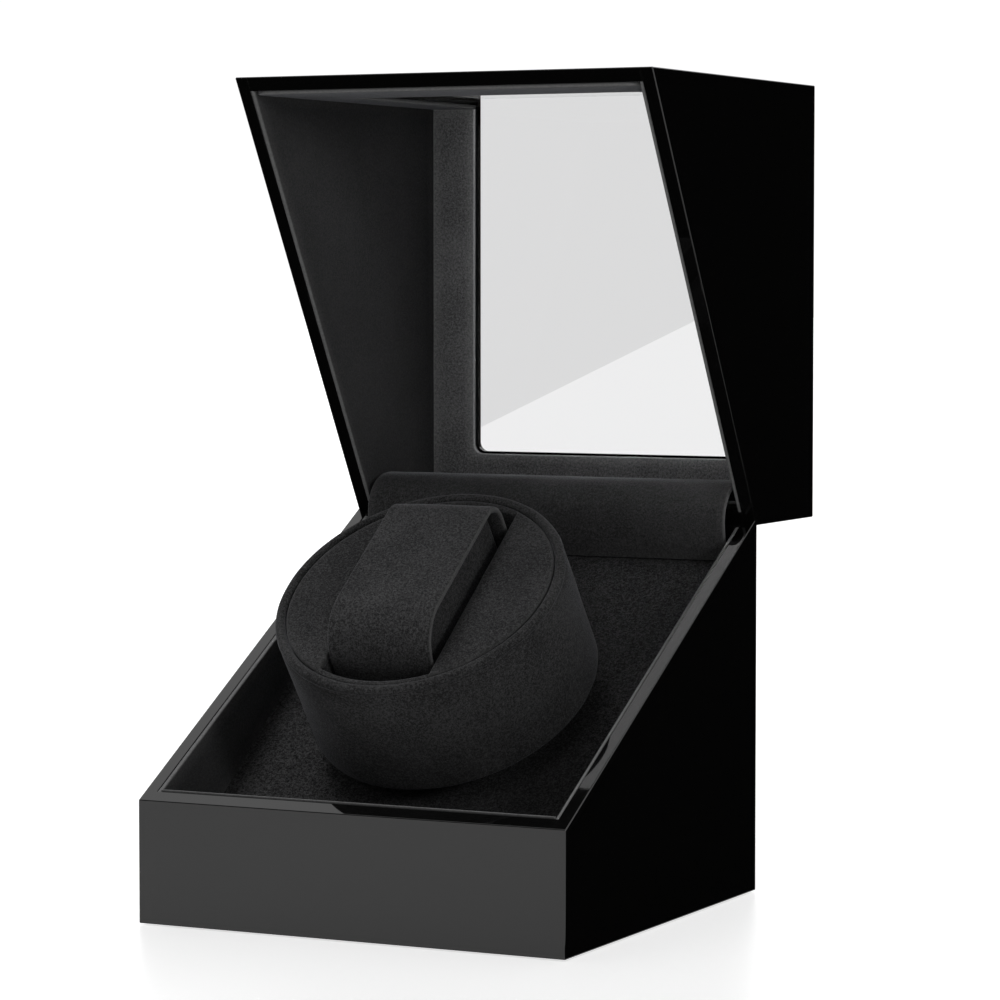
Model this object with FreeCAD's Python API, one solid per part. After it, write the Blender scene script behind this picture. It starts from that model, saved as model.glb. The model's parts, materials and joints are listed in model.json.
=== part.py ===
import FreeCAD, Part
import math
import os

Vector = FreeCAD.Vector

# Watch winder box with its lid standing open. Millimetres; X across, Y to the back, Z up.
# The origin is the middle of the footprint, on the surface that the box stands on.

# Case
width = 140.0
depth = 138.0
closed_height = 164.3
front_height = 37.3        # from the table to the cut line at the front
cut_angle = 30.0           # slope of the cut between base and lid
board = 4.2
liner = 1.2                # felt-covered card on the boards' inner faces
edge_radius = 0.4
inner_edge_radius = 0.3
rim_gap = 0.15             # between the two rims when the lid is shut
liner_recess = 0.3         # of the liners' edges below the rims
felt_thickness = 1.5
felt_proud = 0.5           # of the felt below the boards' lower edges
felt_inset = 0.5

# Hinges in the back edge, with a bevel on both boards that stops the lid when open
stop_bevel = 1.5
stop_gap = 0.1
open_angle = 90.0
hinge_x = 38.0
hinge_width = 22.0
lid_knuckle = 8.0
knuckle_radius = 1.4
knuckle_gap = 0.15
pin_radius = 0.6
pin_clearance = 0.05
leaf = 0.8
leaf_reach = 10.0
cover_thickness = 1.2      # of the velvet strip over the hinges
cover_gap = 2.1            # at each of its ends

# Window: one bent pane over the front and the top of the lid
window_half = 48.5
window_back = 50.0         # rear edge of the opening in the top
window_low = 76.0          # lower edge of the opening in the front, lid shut
window_corner = 3.0
pane = 2.0
pane_rebate = 2.0
pane_gap = 0.1
liner_margin = 0.8         # of the liners' openings round the boards' openings

# Sloping deck and the drum that turns on it
deck_angle = math.degrees(math.atan(0.75))
deck_mid_height = 55.74
deck_panel = 3.0
deck_suede = 0.8
drum_y = 5.5               # where the drum's axis meets the deck
drum_gap = 9.0
drum_radius = 45.0
drum_height = 40.2
sleeve = 0.8
cup_wall = 2.0
cup_floor = 2.5
welt_radius = 1.6
slot_half = 18.0
slot_end = 39.5            # radius of the slot's round ends
slot_floor = 27.0
trough_wall = 1.2
face_thickness = 2.3
face_below = 0.4           # of the padded faces below the welt

# Pillow in the drum's slot
pillow_half = 17.0
pillow_front = 31.5
pillow_back = 31.0
pillow_proud = 10.7
pillow_bottom_gap = 0.3
band = 2.0
core_half = 14.5

# Drive under the deck
spindle_radius = 3.0
bush_radius = 5.5
bush_length = 6.0
running_clearance = 0.05
housing_radius = 8.0
housing_depth = 28.0
belt_depth = 34.0          # of the belt's middle below the deck
pulley_half = 3.0
spindle_pulley_radius = 14.0
motor_pulley_radius = 5.0
pulley_spacing = 32.0
belt_half = 1.0
belt_thickness = 1.0
belt_clearance = 0.1
motor_radius = 12.5
motor_top = 6.0
motor_face = 26.9
motor_shaft_radius = 1.5
housing_flange = 2.5
bracket = 1.5
bracket_gap = 0.8          # between the motor and the bracket's legs

# Controls on the back board
control_height = 30.0
jack_x = -32.0
knob_x = 32.0
nose_radius = 3.5
nose_reach = 2.4           # of the threaded noses beyond the back board
nut_radius = 5.5
nut_thickness = 1.8
knob_radius = 7.5
knob_length = 10.5
button_radius = 4.0
button_proud = 1.8

# Control board on the floor, behind the middle
circuit_half = 30.0
circuit_front = 22.0
circuit_back = 54.0
circuit_lift = 5.0
circuit_thickness = 1.6
fixing_inset = 3.0
lead_radius = 0.8
lead_bend = 2.5

half_width = width / 2
half_depth = depth / 2
inner_x = half_width - board
inner_y = half_depth - board
liner_x = inner_x - liner
liner_y = inner_y - liner
inner_top = closed_height - board
liner_top = inner_top - liner
slope = math.tan(math.radians(cut_angle))
cut_cos = math.cos(math.radians(cut_angle))
cut_sin = math.sin(math.radians(cut_angle))
pivot_y = half_depth - stop_bevel
pivot_z = front_height + (pivot_y + half_depth) * slope
floor_top = felt_thickness + board
circuit_top = floor_top + circuit_lift + circuit_thickness
deck_slope = math.tan(math.radians(deck_angle))
deck_cos = math.cos(math.radians(deck_angle))
drum_top = drum_gap + drum_height
X = Vector(1, 0, 0)
Y = Vector(0, 1, 0)
Z = Vector(0, 0, 1)


def rim_z(y):
    return front_height + (y + half_depth) * slope


def deck_z(y):
    return deck_mid_height + y * deck_slope


def box(x0, x1, y0, y1, z0, z1):
    return Part.makeBox(x1 - x0, y1 - y0, z1 - z0, Vector(x0, y0, z0))


def across(outline, x0, x1):
    """A side outline of (y, z) points, carried along X."""
    points = [Vector(x0, y, z) for y, z in outline]
    face = Part.Face(Part.makePolygon(points + points[:1]))
    return face.extrude(Vector(x1 - x0, 0, 0))


def rod(radius, start, along, length):
    return Part.makeCylinder(radius, length, start, along)


def upright(radius, z0, z1, x=0.0, y=0.0):
    return rod(radius, Vector(x, y, z0), Z, z1 - z0)


def ring(outer, inner, z0, z1):
    return upright(outer, z0, z1).cut(upright(inner, z0 - 1, z1 + 1))


def union(shapes):
    return shapes[0].multiFuse(shapes[1:]).removeSplitter()


def rounded(shape, radius, wanted):
    return shape.makeFillet(radius, [edge for edge in shape.Edges if wanted(edge)])


def on_deck(shape):
    """From the deck's own frame (Z off the deck, Y up the slope) to the box's frame."""
    placed = shape.copy()
    placed.rotate(Vector(), X, deck_angle)
    placed.translate(Vector(0, drum_y, deck_z(drum_y)))
    return placed


def opened(shape):
    """A lid piece, drawn with the lid shut, swung back about the hinges."""
    placed = shape.copy()
    placed.rotate(Vector(0, pivot_y, pivot_z), X, -open_angle)
    return placed


def save(name, *shapes):
    """Writes one node, and says what is wrong with it if anything is."""
    solids = [solid for shape in shapes for solid in shape.Solids]
    if not solids or not all(solid.isValid() for solid in solids):
        print("PROBLEM in", name, len(solids))
    whole = solids[0] if len(solids) == 1 else Part.makeCompound(solids)
    whole.exportStep("parts/" + name + ".step")
    print(name, len(solids), "solid(s),", round(sum(solid.Volume for solid in solids)), "mm3")


def pan_head_screw(head, thread, head_height, length):
    """A screw whose head stands on Z = 0 and whose thread runs down."""
    top = rounded(upright(head, 0, head_height), head_height * 0.45, lambda e: e.BoundBox.ZMin > head_height * 0.9)
    slot = box(-head, head, -0.25, 0.25, head_height * 0.55, head_height + 1)
    return union([top, upright(thread, -length, 0)]).cut(slot)


def placed_screw(screw, place, along):
    """The screw with its head outwards on along."""
    turned = screw.copy()
    turned.Placement = FreeCAD.Placement(place, FreeCAD.Rotation(Z, along))
    return turned


def near(value, goal):
    return abs(value - goal) < 0.01


def on_rim(edge, lift=0.0):
    """True for an edge that lies in the cut plane, raised by lift."""
    return all(near(v.Z, rim_z(v.Y) + lift) for v in edge.Vertexes)


# Base boards: one lacquered shell, parted where the boards butt together

def base_shell():
    outline = [
        (-half_depth, felt_proud),
        (half_depth, felt_proud),
        (half_depth, rim_z(half_depth)),
        (-half_depth, front_height),
    ]
    solid = across(outline, -half_width, half_width)
    solid = rounded(solid, edge_radius, lambda e: not back_rim_edge(e))
    solid = solid.cut(box(-inner_x, inner_x, -inner_y, inner_y, -1, closed_height))
    solid = rounded(solid, inner_edge_radius, lambda e: on_rim(e) and inner_rim_edge(e))
    reach = stop_bevel + 2
    bevel = [(pivot_y, pivot_z), (pivot_y + reach, pivot_z - reach), (pivot_y + reach, pivot_z + reach)]
    bevel += [(pivot_y, pivot_z + reach)]
    return solid.cut(across(bevel, -width, width))


def back_rim_edge(edge):
    """The rim's rear edge, which the stop bevel takes away."""
    bound = edge.BoundBox
    return near(bound.YMin, half_depth) and near(bound.ZMin, bound.ZMax) and abs(bound.ZMin - pivot_z) < 3


def inner_rim_edge(edge):
    bound = edge.BoundBox
    along_side = near(abs(bound.XMin), inner_x) and near(bound.XMin, bound.XMax)
    along_end = near(abs(bound.YMin), inner_y) and near(bound.YMin, bound.YMax)
    return along_side or along_end


def lid_shell():
    lift = rim_gap / cut_cos
    outline = [
        (-half_depth, front_height + lift),
        (half_depth, rim_z(half_depth) + lift),
        (half_depth, closed_height),
        (-half_depth, closed_height),
    ]
    solid = across(outline, -half_width, half_width)
    solid = rounded(solid, edge_radius, lambda e: not back_rim_edge(e))
    solid = solid.cut(box(-inner_x, inner_x, -inner_y, inner_y, -1, inner_top))
    solid = rounded(solid, inner_edge_radius, lambda e: on_rim(e, lift) and inner_rim_edge(e))
    reach = stop_bevel + 2
    start = pivot_y - 1
    bevel = [(start, pivot_z + stop_gap - 1), (start + reach, pivot_z + stop_gap + reach - 1)]
    bevel += [(start + reach, pivot_z - reach), (start, pivot_z - reach)]
    return solid.cut(across(bevel, -width, width))


def side_part(shell, sign):
    low = min(sign * inner_x, sign * (half_width + 1))
    return shell.common(box(low, low + board + 1, -depth, depth, -1, 2 * depth))


def cross_part(shell, y0, y1, z0=-1.0, z1=2 * depth):
    return shell.common(box(-inner_x, inner_x, y0, y1, z0, z1))


# Hinges, drawn with the lid shut

def hinge_places():
    return [-hinge_x, hinge_x]


def knuckle_mortise():
    start = Vector(-hinge_width / 2 - 0.2, pivot_y, pivot_z)
    return rod(knuckle_radius + knuckle_gap, start, X, hinge_width + 0.4)


def leaf_plate(side):
    """Leaf over the rim and along the board's inner face; side is -1 on the base, 1 on the lid."""
    face = inner_y - leaf
    first = side * 0.1
    second = side * (0.1 + leaf)
    outer_run = (pivot_y - first * cut_sin - face) / cut_cos
    inner_run = (pivot_y - second * cut_sin - inner_y) / cut_cos
    outer_z = pivot_z + first * cut_cos - outer_run * cut_sin
    inner_z = pivot_z + second * cut_cos - inner_run * cut_sin
    tip = pivot_z + side * leaf_reach
    outline = [
        (pivot_y - first * cut_sin, pivot_z + first * cut_cos),
        (face, outer_z),
        (face, tip),
        (inner_y, tip),
        (inner_y, inner_z),
        (pivot_y - second * cut_sin, pivot_z + second * cut_cos),
    ]
    return across(outline, -hinge_width / 2, hinge_width / 2)


def knuckle(x0, x1):
    return rod(knuckle_radius, Vector(x0, pivot_y, pivot_z), X, x1 - x0)


def hinge_base_leaf():
    half = hinge_width / 2
    middle = lid_knuckle / 2 + 0.2
    plate = leaf_plate(-1).cut(rod(knuckle_radius + knuckle_gap, Vector(-middle, pivot_y, pivot_z), X, 2 * middle))
    whole = union([plate, knuckle(-half, -middle), knuckle(middle, half)])
    return whole.cut(rod(pin_radius, Vector(-half - 1, pivot_y, pivot_z), X, hinge_width + 2))


def hinge_lid_leaf():
    half = hinge_width / 2
    middle = lid_knuckle / 2
    plate = leaf_plate(1)
    for x0 in (-half - 1, middle):
        plate = plate.cut(rod(knuckle_radius + knuckle_gap, Vector(x0, pivot_y, pivot_z), X, half + 1 - middle))
    whole = union([plate, knuckle(-middle, middle)])
    bore = rod(pin_radius + pin_clearance, Vector(-half, pivot_y, pivot_z), X, hinge_width)
    return whole.cut(bore)


def moved_x(shape, x):
    placed = shape.copy()
    placed.translate(Vector(x, 0, 0))
    return placed


def hinge_screws(side):
    screw = pan_head_screw(1.3, 0.7, 0.7, leaf + 2.6)
    height = pivot_z + side * (leaf_reach - 3.2)
    places = [Vector(x + dx, inner_y - leaf, height) for x in hinge_places() for dx in (-6.5, 6.5)]
    return [placed_screw(screw, place, -Y) for place in places]


def make_base():
    shell = base_shell()
    save("base_left_board", side_part(shell, -1))
    save("base_right_board", side_part(shell, 1))
    save("base_front_board", cross_part(shell, -half_depth - 1, -inner_y))

    back = cross_part(shell, inner_y, half_depth + 1)
    for x in hinge_places():
        back = back.cut(moved_x(knuckle_mortise(), x)).cut(moved_x(leaf_plate(-1), x))
    for screw in hinge_screws(-1):
        back = back.cut(screw)
    for x in (jack_x, knob_x):
        back = back.cut(rod(nose_radius, Vector(x, 0, control_height), Y, depth))
    back = back.cut(rod(button_radius + 1.2, Vector(0, 0, control_height), Y, depth))
    save("base_back_board", back)

    bottom = box(-inner_x, inner_x, -inner_y, inner_y, felt_thickness, floor_top)
    for screw in board_screws():
        bottom = bottom.cut(screw)
    save("base_bottom_board", bottom)
    fx = inner_x - felt_inset
    fy = inner_y - felt_inset
    felt = box(-fx, fx, -fy, fy, 0, felt_thickness)
    save("base_felt_pad", rounded(felt, 3.0, lambda e: near(e.BoundBox.ZLength, felt_thickness)))

    rear = inner_y - 0.3
    side = [
        (-inner_y, deck_z(-inner_y)),
        (rear, deck_z(rear)),
        (rear, rim_z(rear) - liner_recess),
        (-inner_y, rim_z(-inner_y) - liner_recess),
    ]
    save("base_left_liner", across(side, -inner_x, -liner_x))
    save("base_right_liner", across(side, liner_x, inner_x))
    front = [
        (-inner_y, deck_z(-inner_y)),
        (-liner_y, deck_z(-liner_y)),
        (-liner_y, rim_z(-liner_y) - liner_recess),
        (-inner_y, rim_z(-inner_y) - liner_recess),
    ]
    save("base_front_liner", across(front, -liner_x, liner_x))


def deck_layer(top, thickness):
    """A slab whose upper face lies top below the deck's surface, measured square to it."""
    high = -top / deck_cos
    low = -(top + thickness) / deck_cos
    outline = [(-inner_y, deck_z(-inner_y) + low), (inner_y, deck_z(inner_y) + low)]
    outline += [(inner_y, deck_z(inner_y) + high), (-inner_y, deck_z(-inner_y) + high)]
    slab = across(outline, -inner_x, inner_x)
    room = box(-inner_x, inner_x, -inner_y, inner_y, floor_top, closed_height)
    return slab.common(room)


def deck_screws():
    screws = []
    for x in (-61.8, 61.8):
        for y in (-40.0, 45.0):
            head = Part.makeCone(2.4, 1.0, 1.6, Vector(x, y, -deck_suede), -Z)
            screws.append(union([head, upright(1.0, -deck_suede - 11, -deck_suede - 1.5, x, y)]))
    return screws


def make_deck():
    hole = on_deck(upright(housing_radius + 0.2, -10, 10))
    save("deck_suede", deck_layer(0, deck_suede).cut(hole))
    panel = deck_layer(deck_suede, deck_panel).cut(hole)
    under = deck_suede + deck_panel
    rails = [box(x, x + 8, -50, 55, -under - 8, -under) for x in (-inner_x, inner_x - 8)]
    rails = [on_deck(rail) for rail in rails]
    for screw in deck_screws():
        panel = panel.cut(on_deck(screw))
        rails = [rail.cut(on_deck(screw)) for rail in rails]
    for screw in drive_screws():
        panel = panel.cut(on_deck(screw))
    save("deck_panel", panel)
    save("deck_rails", *rails)
    save("deck_screws", *[on_deck(screw) for screw in deck_screws()])


def make_hinges():
    save("hinge_base_leaves", *[moved_x(hinge_base_leaf_drilled(), x) for x in hinge_places()])
    pin = rod(pin_radius, Vector(-hinge_width / 2, pivot_y, pivot_z), X, hinge_width)
    save("hinge_pins", *[moved_x(pin, x) for x in hinge_places()])
    save("hinge_base_screws", *hinge_screws(-1))
    save("hinge_lid_leaves", *[opened(moved_x(hinge_lid_leaf_drilled(), x)) for x in hinge_places()])
    save("hinge_lid_screws", *[opened(screw) for screw in hinge_screws(1)])


def hinge_base_leaf_drilled():
    shape = hinge_base_leaf()
    for screw in hinge_screws(-1):
        shape = shape.cut(moved_x(screw, hinge_x))
    return shape


def hinge_lid_leaf_drilled():
    shape = hinge_lid_leaf()
    for screw in hinge_screws(1):
        shape = shape.cut(moved_x(screw, hinge_x))
    return shape


def make_hinge_cover():
    """Velvet strip that rises behind the deck and bends over the hinges on to the lid."""
    half = liner_x - cover_gap
    arcs = [
        ((62.7, 103.6), (60.6, 110.2), (59.9, 117.0)),
        ((59.9, 117.0), (63.6, 124.4), (72.0, 127.9)),
        ((72.0, 127.9), (81.2, 126.9), (88.6, 121.6)),
    ]
    wire = Part.Wire([Part.Arc(*[Vector(-half, y, z) for y, z in points]).toShape() for points in arcs])
    face = wire.makeOffset2D(cover_thickness, 0, True, True)
    save("hinge_cover", face.extrude(Vector(2 * half, 0, 0)))


# Lid boards, window and liners, drawn shut

def window_hole(margin, depth_in):
    """The opening through the front and the top, grown by margin and depth_in deep."""
    half = window_half + margin
    back = window_back + margin
    low = window_low - margin
    top = box(-half, half, -half_depth - 1, back, closed_height - depth_in, closed_height + 1)
    top = rounded(top, window_corner, lambda e: near(e.BoundBox.XLength, 0) and near(e.BoundBox.YMin, back)
                  and near(e.BoundBox.YMax, back))
    front = box(-half, half, -half_depth - 1, -half_depth + depth_in, low, closed_height + 1)
    front = rounded(front, window_corner, lambda e: near(e.BoundBox.XLength, 0) and near(e.BoundBox.ZMin, low)
                    and near(e.BoundBox.ZMax, low))
    return top.fuse(front)


def make_lid():
    shell = lid_shell()
    save("lid_left_board", opened(side_part(shell, -1)))
    save("lid_right_board", opened(side_part(shell, 1)))

    opening = window_hole(0, board + 0.5)
    rebate = window_hole(pane_rebate, pane)
    front = cross_part(shell, -half_depth - 1, -inner_y).cut(opening).cut(rebate)
    top = cross_part(shell, -inner_y, inner_y, inner_top - 0.5).cut(opening).cut(rebate)
    back = cross_part(shell, inner_y, half_depth + 1)
    for x in hinge_places():
        back = back.cut(moved_x(knuckle_mortise(), x)).cut(moved_x(leaf_plate(1), x))
    for screw in hinge_screws(1):
        back = back.cut(screw)
    save("lid_front_board", opened(front))
    save("lid_top_board", opened(top))
    save("lid_back_board", opened(back))

    outer = box(-half_width, half_width, -half_depth, half_depth, 0, closed_height)
    outer = rounded(outer, edge_radius, lambda e: near(e.BoundBox.YMax, -half_depth)
                    and near(e.BoundBox.ZMin, closed_height))
    sheet = outer.common(window_hole(pane_rebate - pane_gap, pane))
    save("window_pane", opened(sheet))

    lift = liner_recess + rim_gap
    side = [
        (-inner_y, rim_z(-inner_y) + lift),
        (inner_y, rim_z(inner_y) + lift),
        (inner_y, inner_top),
        (-inner_y, inner_top),
    ]
    save("lid_left_liner", opened(across(side, -inner_x, -liner_x)))
    save("lid_right_liner", opened(across(side, liner_x, inner_x)))
    liner_hole = window_hole(liner_margin, board + liner + 1)
    front_liner = across([(-inner_y, rim_z(-inner_y) + lift), (-liner_y, rim_z(-liner_y) + lift),
                          (-liner_y, inner_top), (-inner_y, inner_top)], -liner_x, liner_x)
    save("lid_front_liner", opened(front_liner.cut(liner_hole)))
    top_liner = box(-liner_x, liner_x, -liner_y, liner_y, liner_top, inner_top)
    save("lid_top_liner", opened(top_liner.cut(liner_hole)))
    back_low = pivot_z + leaf_reach + 1
    save("lid_back_liner", opened(box(-liner_x, liner_x, liner_y, inner_y, back_low, inner_top)))


# Drum, drawn in the deck's own frame

def revolve(points):
    """A closed (radius, z) outline turned about the drum's axis."""
    corners = [Vector(r, 0, z) for r, z in points]
    face = Part.Face(Part.makePolygon(corners + corners[:1]))
    return face.revolve(Vector(), Z, 360)


def within_slot(x_half, radius, z0, z1):
    return upright(radius, z0, z1).common(box(-x_half, x_half, -radius, radius, z0, z1))


def hub_screws():
    screw = pan_head_screw(2.2, 1.1, 1.4, 4.2)
    places = [math.radians(a) for a in (90, 210, 330)]
    height = drum_gap + 0.6 + cup_floor + 2
    return [placed_screw(screw, Vector(11.5 * math.cos(a), 11.5 * math.sin(a), height), Z) for a in places]


def make_drum():
    floor = drum_gap + 0.6
    floor_up = floor + cup_floor
    cup_outer = drum_radius - sleeve
    cup_inner = cup_outer - cup_wall
    welt_z = drum_top - welt_radius
    welt_r = drum_radius - welt_radius
    cup_top = welt_z - welt_radius - 0.1
    hub_radius = 7.0
    flange_top = floor_up + 2

    cup = union([ring(cup_outer, cup_inner, floor, cup_top), upright(cup_inner + 0.1, floor, floor_up)])
    ledge_low = cup_top - 3
    ledge = ring(cup_inner + 0.1, slot_end - 1, ledge_low, cup_top)
    ledge = ledge.cut(box(-slot_half - 1.4, slot_half + 1.4, -60, 60, ledge_low - 1, cup_top + 1))
    trough_low = slot_floor - trough_wall
    posts = [upright(3, floor, trough_low, x, y) for x in (-12, 12) for y in (-27, 27)]
    cup = union([cup, ledge] + posts).cut(upright(hub_radius, floor - 1, floor_up + 1))
    screws = hub_screws()
    for screw in screws:
        cup = cup.cut(screw)
    save("drum_cup", on_deck(cup))

    welt = Part.makeTorus(welt_r, welt_radius, Vector(0, 0, welt_z), Z)
    wall = ring(drum_radius, cup_outer, drum_gap, welt_z)
    hem = ring(drum_radius, cup_inner - 2, drum_gap, floor)
    save("drum_sleeve", on_deck(union([wall, hem, welt])))

    trough_radius = welt_r - welt_radius - 0.1
    trough_top = drum_top - face_below - face_thickness - 0.1
    trough = within_slot(slot_half + trough_wall, trough_radius, trough_low, trough_top)
    ends = within_slot(slot_half - 0.1, trough_radius, trough_top - 1, drum_top - 0.8)
    trough = union([trough, ends]).cut(within_slot(slot_half, slot_end, slot_floor, drum_top + 1))
    save("slot_trough", on_deck(trough))

    face_top = drum_top - face_below
    disc = upright(trough_radius, face_top - face_thickness, face_top)
    disc = rounded(disc, 0.8, lambda e: near(e.BoundBox.ZMin, face_top))
    save("drum_face_left", on_deck(disc.common(box(-60, -slot_half, -60, 60, 0, 60))))
    save("drum_face_right", on_deck(disc.common(box(slot_half, 60, -60, 60, 0, 60))))

    hub = union([upright(15, floor_up, flange_top), upright(hub_radius, drum_gap - 5, floor_up)])
    hub = hub.cut(upright(spindle_radius, 0, flange_top + 1))
    for screw in screws:
        hub = hub.cut(screw)
    save("drum_hub", on_deck(hub))
    save("hub_screws", *[on_deck(screw) for screw in screws])
    return flange_top


def pillow_outline(inset, back_inset=None):
    """The pillow's oval side outline, (y, z) in the deck's frame, drawn in by inset."""
    back_inset = inset if back_inset is None else back_inset
    y0 = -pillow_front + inset
    y1 = pillow_back - back_inset
    z0 = slot_floor + pillow_bottom_gap + inset
    z1 = drum_top + pillow_proud - inset
    radii = [10 - inset, 10 - inset, max(7.5 - inset, 1.5), 14.5 - inset]
    corners = [(y0, z0), (y1, z0), (y1, z1), (y0, z1)]
    inward = [(1, 1), (-1, 1), (-1, -1), (1, -1)]
    edges = []
    ends = []
    for (y, z), (sy, sz), r in zip(corners, inward, radii):
        centre = Vector(0, y + sy * r, z + sz * r)
        middle = centre + Vector(0, -sy, -sz) * (r / math.sqrt(2))
        on_side = Vector(0, y, z + sz * r)
        on_flat = Vector(0, y + sy * r, z)
        first, last = (on_side, on_flat) if sy * sz > 0 else (on_flat, on_side)
        ends.append((first, middle, last))
    for index, (first, middle, last) in enumerate(ends):
        edges.append(Part.Arc(first, middle, last).toShape())
        edges.append(Part.makeLine(last, ends[(index + 1) % 4][0]))
    return Part.Face(Part.Wire(edges))


def make_pillow():
    outer = moved_x(pillow_outline(0), -pillow_half).extrude(Vector(2 * pillow_half, 0, 0))
    inner = moved_x(pillow_outline(band), -pillow_half - 1).extrude(Vector(2 * pillow_half + 2, 0, 0))
    wrap = rounded(outer, 0.6, lambda e: near(e.BoundBox.XLength, 0))
    save("pillow_band", on_deck(wrap.cut(inner)))
    core = moved_x(pillow_outline(band, band + 3.5), -core_half).extrude(Vector(2 * core_half, 0, 0))
    save("pillow_core", on_deck(core))


# Drive, drawn in the deck's own frame

def pulley(radius, bore, y):
    low = -belt_depth - pulley_half
    high = -belt_depth + pulley_half
    flange = 1.2
    body = union([
        upright(radius, low, high, 0, y),
        upright(radius + flange, low, low + 1.4, 0, y),
        upright(radius + flange, high - 1.4, high, 0, y),
    ])
    return body.cut(upright(bore, low - 1, high + 1, 0, y))


def belt():
    """A closed flat belt round both pulleys, with straight runs tangent to them."""
    def loop(grow):
        big = spindle_pulley_radius + grow
        small = motor_pulley_radius + grow
        lean = math.asin((big - small) / pulley_spacing)
        up = math.sin(lean)
        out = math.cos(lean)
        z = -belt_depth - belt_half
        big_right = Vector(big * out, big * up, z)
        big_left = Vector(-big * out, big * up, z)
        small_right = Vector(small * out, pulley_spacing + small * up, z)
        small_left = Vector(-small * out, pulley_spacing + small * up, z)
        edges = [
            Part.Arc(big_left, Vector(0, -big, z), big_right).toShape(),
            Part.makeLine(big_right, small_right),
            Part.Arc(small_right, Vector(0, pulley_spacing + small, z), small_left).toShape(),
            Part.makeLine(small_left, big_left),
        ]
        return Part.Face(Part.Wire(edges)).extrude(Vector(0, 0, 2 * belt_half))
    return loop(belt_clearance + belt_thickness).cut(loop(belt_clearance))


def drive_screws():
    """The screws up into the deck panel and the motor, heads down."""
    under = deck_suede + deck_panel
    ring_radius = 11.6
    foot_x = motor_radius + bracket_gap + 5
    places = [Vector(ring_radius * sx, 0, -under - housing_flange) for sx in (-1, 1)]
    places += [Vector(0, ring_radius * sy, -under - housing_flange) for sy in (-1, 1)]
    places += [Vector(sx * foot_x, pulley_spacing + sy * 9, -under - bracket)
               for sx in (-1, 1) for sy in (-1, 1)]
    places += [Vector(sx * 8.5, pulley_spacing, -motor_face - bracket) for sx in (-1, 1)]
    screw = pan_head_screw(2.0, 1.0, 1.2, 4.0)
    return [placed_screw(screw, place, -Z) for place in places]


def make_drive(hub_top):
    under = deck_suede + deck_panel
    housing = union([
        upright(housing_radius, -housing_depth, -0.6),
        upright(15, -under - housing_flange, -under),
    ])
    housing = housing.cut(upright(bush_radius, -housing_depth - 1, 1))

    leg = bracket
    leg_x = motor_radius + bracket_gap
    plate_z = -motor_face - bracket
    y0 = pulley_spacing - 14
    y1 = pulley_spacing + 14
    holder = union([
        box(-leg_x - leg, leg_x + leg, y0, y1, plate_z, plate_z + bracket),
        box(-leg_x - leg, -leg_x, y0, y1, plate_z, -under),
        box(leg_x, leg_x + leg, y0, y1, plate_z, -under),
        box(-leg_x - 8, -leg_x, y0, y1, -under - bracket, -under),
        box(leg_x, leg_x + 8, y0, y1, -under - bracket, -under),
    ])
    holder = holder.cut(upright(3.6, plate_z - 1, plate_z + bracket + 1, 0, pulley_spacing))

    screws = drive_screws()
    for screw in screws:
        housing = housing.cut(screw)
        holder = holder.cut(screw)
    save("spindle_housing", on_deck(housing))
    save("motor_bracket", on_deck(holder))

    gearbox = upright(motor_radius, -motor_face, -motor_face + 9, 0, pulley_spacing)
    can = upright(motor_radius - 1.5, -motor_face + 9, -motor_top - 1, 0, pulley_spacing)
    cap = upright(4.5, -motor_top - 1, -motor_top, 0, pulley_spacing)
    motor = union([gearbox, can, cap])
    motor = motor.cut(upright(motor_shaft_radius + running_clearance, -motor_face - 1, -motor_face + 4, 0,
                              pulley_spacing))
    for screw in screws:
        motor = motor.cut(screw)
    save("gear_motor", on_deck(motor))

    shaft_low = -belt_depth - pulley_half - 0.4
    shaft = upright(motor_shaft_radius, shaft_low, -motor_face + 3.8, 0, pulley_spacing)
    save("motor_shaft", on_deck(shaft))
    save("motor_pulley", on_deck(pulley(motor_pulley_radius, motor_shaft_radius, pulley_spacing)))

    bush = ring(bush_radius, spindle_radius + running_clearance, 0, bush_length)
    bushes = []
    for z in (-housing_depth, -0.6 - bush_length):
        placed = bush.copy()
        placed.translate(Vector(0, 0, z))
        bushes.append(on_deck(placed))
    save("spindle_bushes", *bushes)

    low = -belt_depth - pulley_half - 1.8
    spindle = union([upright(spindle_radius, low, hub_top), upright(4.6, -0.4, 1.2)])
    groove = ring(spindle_radius + 1, spindle_radius - 0.6, low + 0.8, low + 1.6)
    save("spindle", on_deck(spindle.cut(groove)))
    clip = ring(spindle_radius + 1.8, spindle_radius - 0.6, low + 0.8, low + 1.6)
    save("spindle_clip", on_deck(clip.cut(box(-1.6, 1.6, 0, 10, low, low + 3))))
    save("spindle_pulley", on_deck(pulley(spindle_pulley_radius, spindle_radius, 0)))
    save("drive_belt", on_deck(belt()))
    save("mechanism_screws", *[on_deck(screw) for screw in screws])


# Electrics on the floor and the back board

def bent_lead(points, radius, bend):
    """A round lead along straight runs joined by arcs of one bend radius."""
    places = [Vector(*point) for point in points]
    edges = []
    start = places[0]
    for before, corner, after in zip(places, places[1:], places[2:]):
        into = (corner - before).normalize()
        out = (after - corner).normalize()
        half_turn = into.getAngle(out) / 2
        trim = bend * math.tan(half_turn)
        first = corner - into * trim
        last = corner + out * trim
        inward = (out - into).normalize()
        centre = corner + inward * (bend / math.cos(half_turn))
        edges.append(Part.makeLine(start, first))
        edges.append(Part.Arc(first, centre - inward * bend, last).toShape())
        start = last
    edges.append(Part.makeLine(start, places[-1]))
    path = Part.Wire(edges)
    tangent = (places[1] - places[0]).normalize()
    profile = Part.Wire(Part.makeCircle(radius, places[0], tangent))
    return path.makePipeShell([profile], True, False)


def board_corners():
    x = circuit_half - fixing_inset
    return [(sx * x, y) for sx in (-1, 1) for y in (circuit_front + fixing_inset, circuit_back - fixing_inset)]


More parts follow.
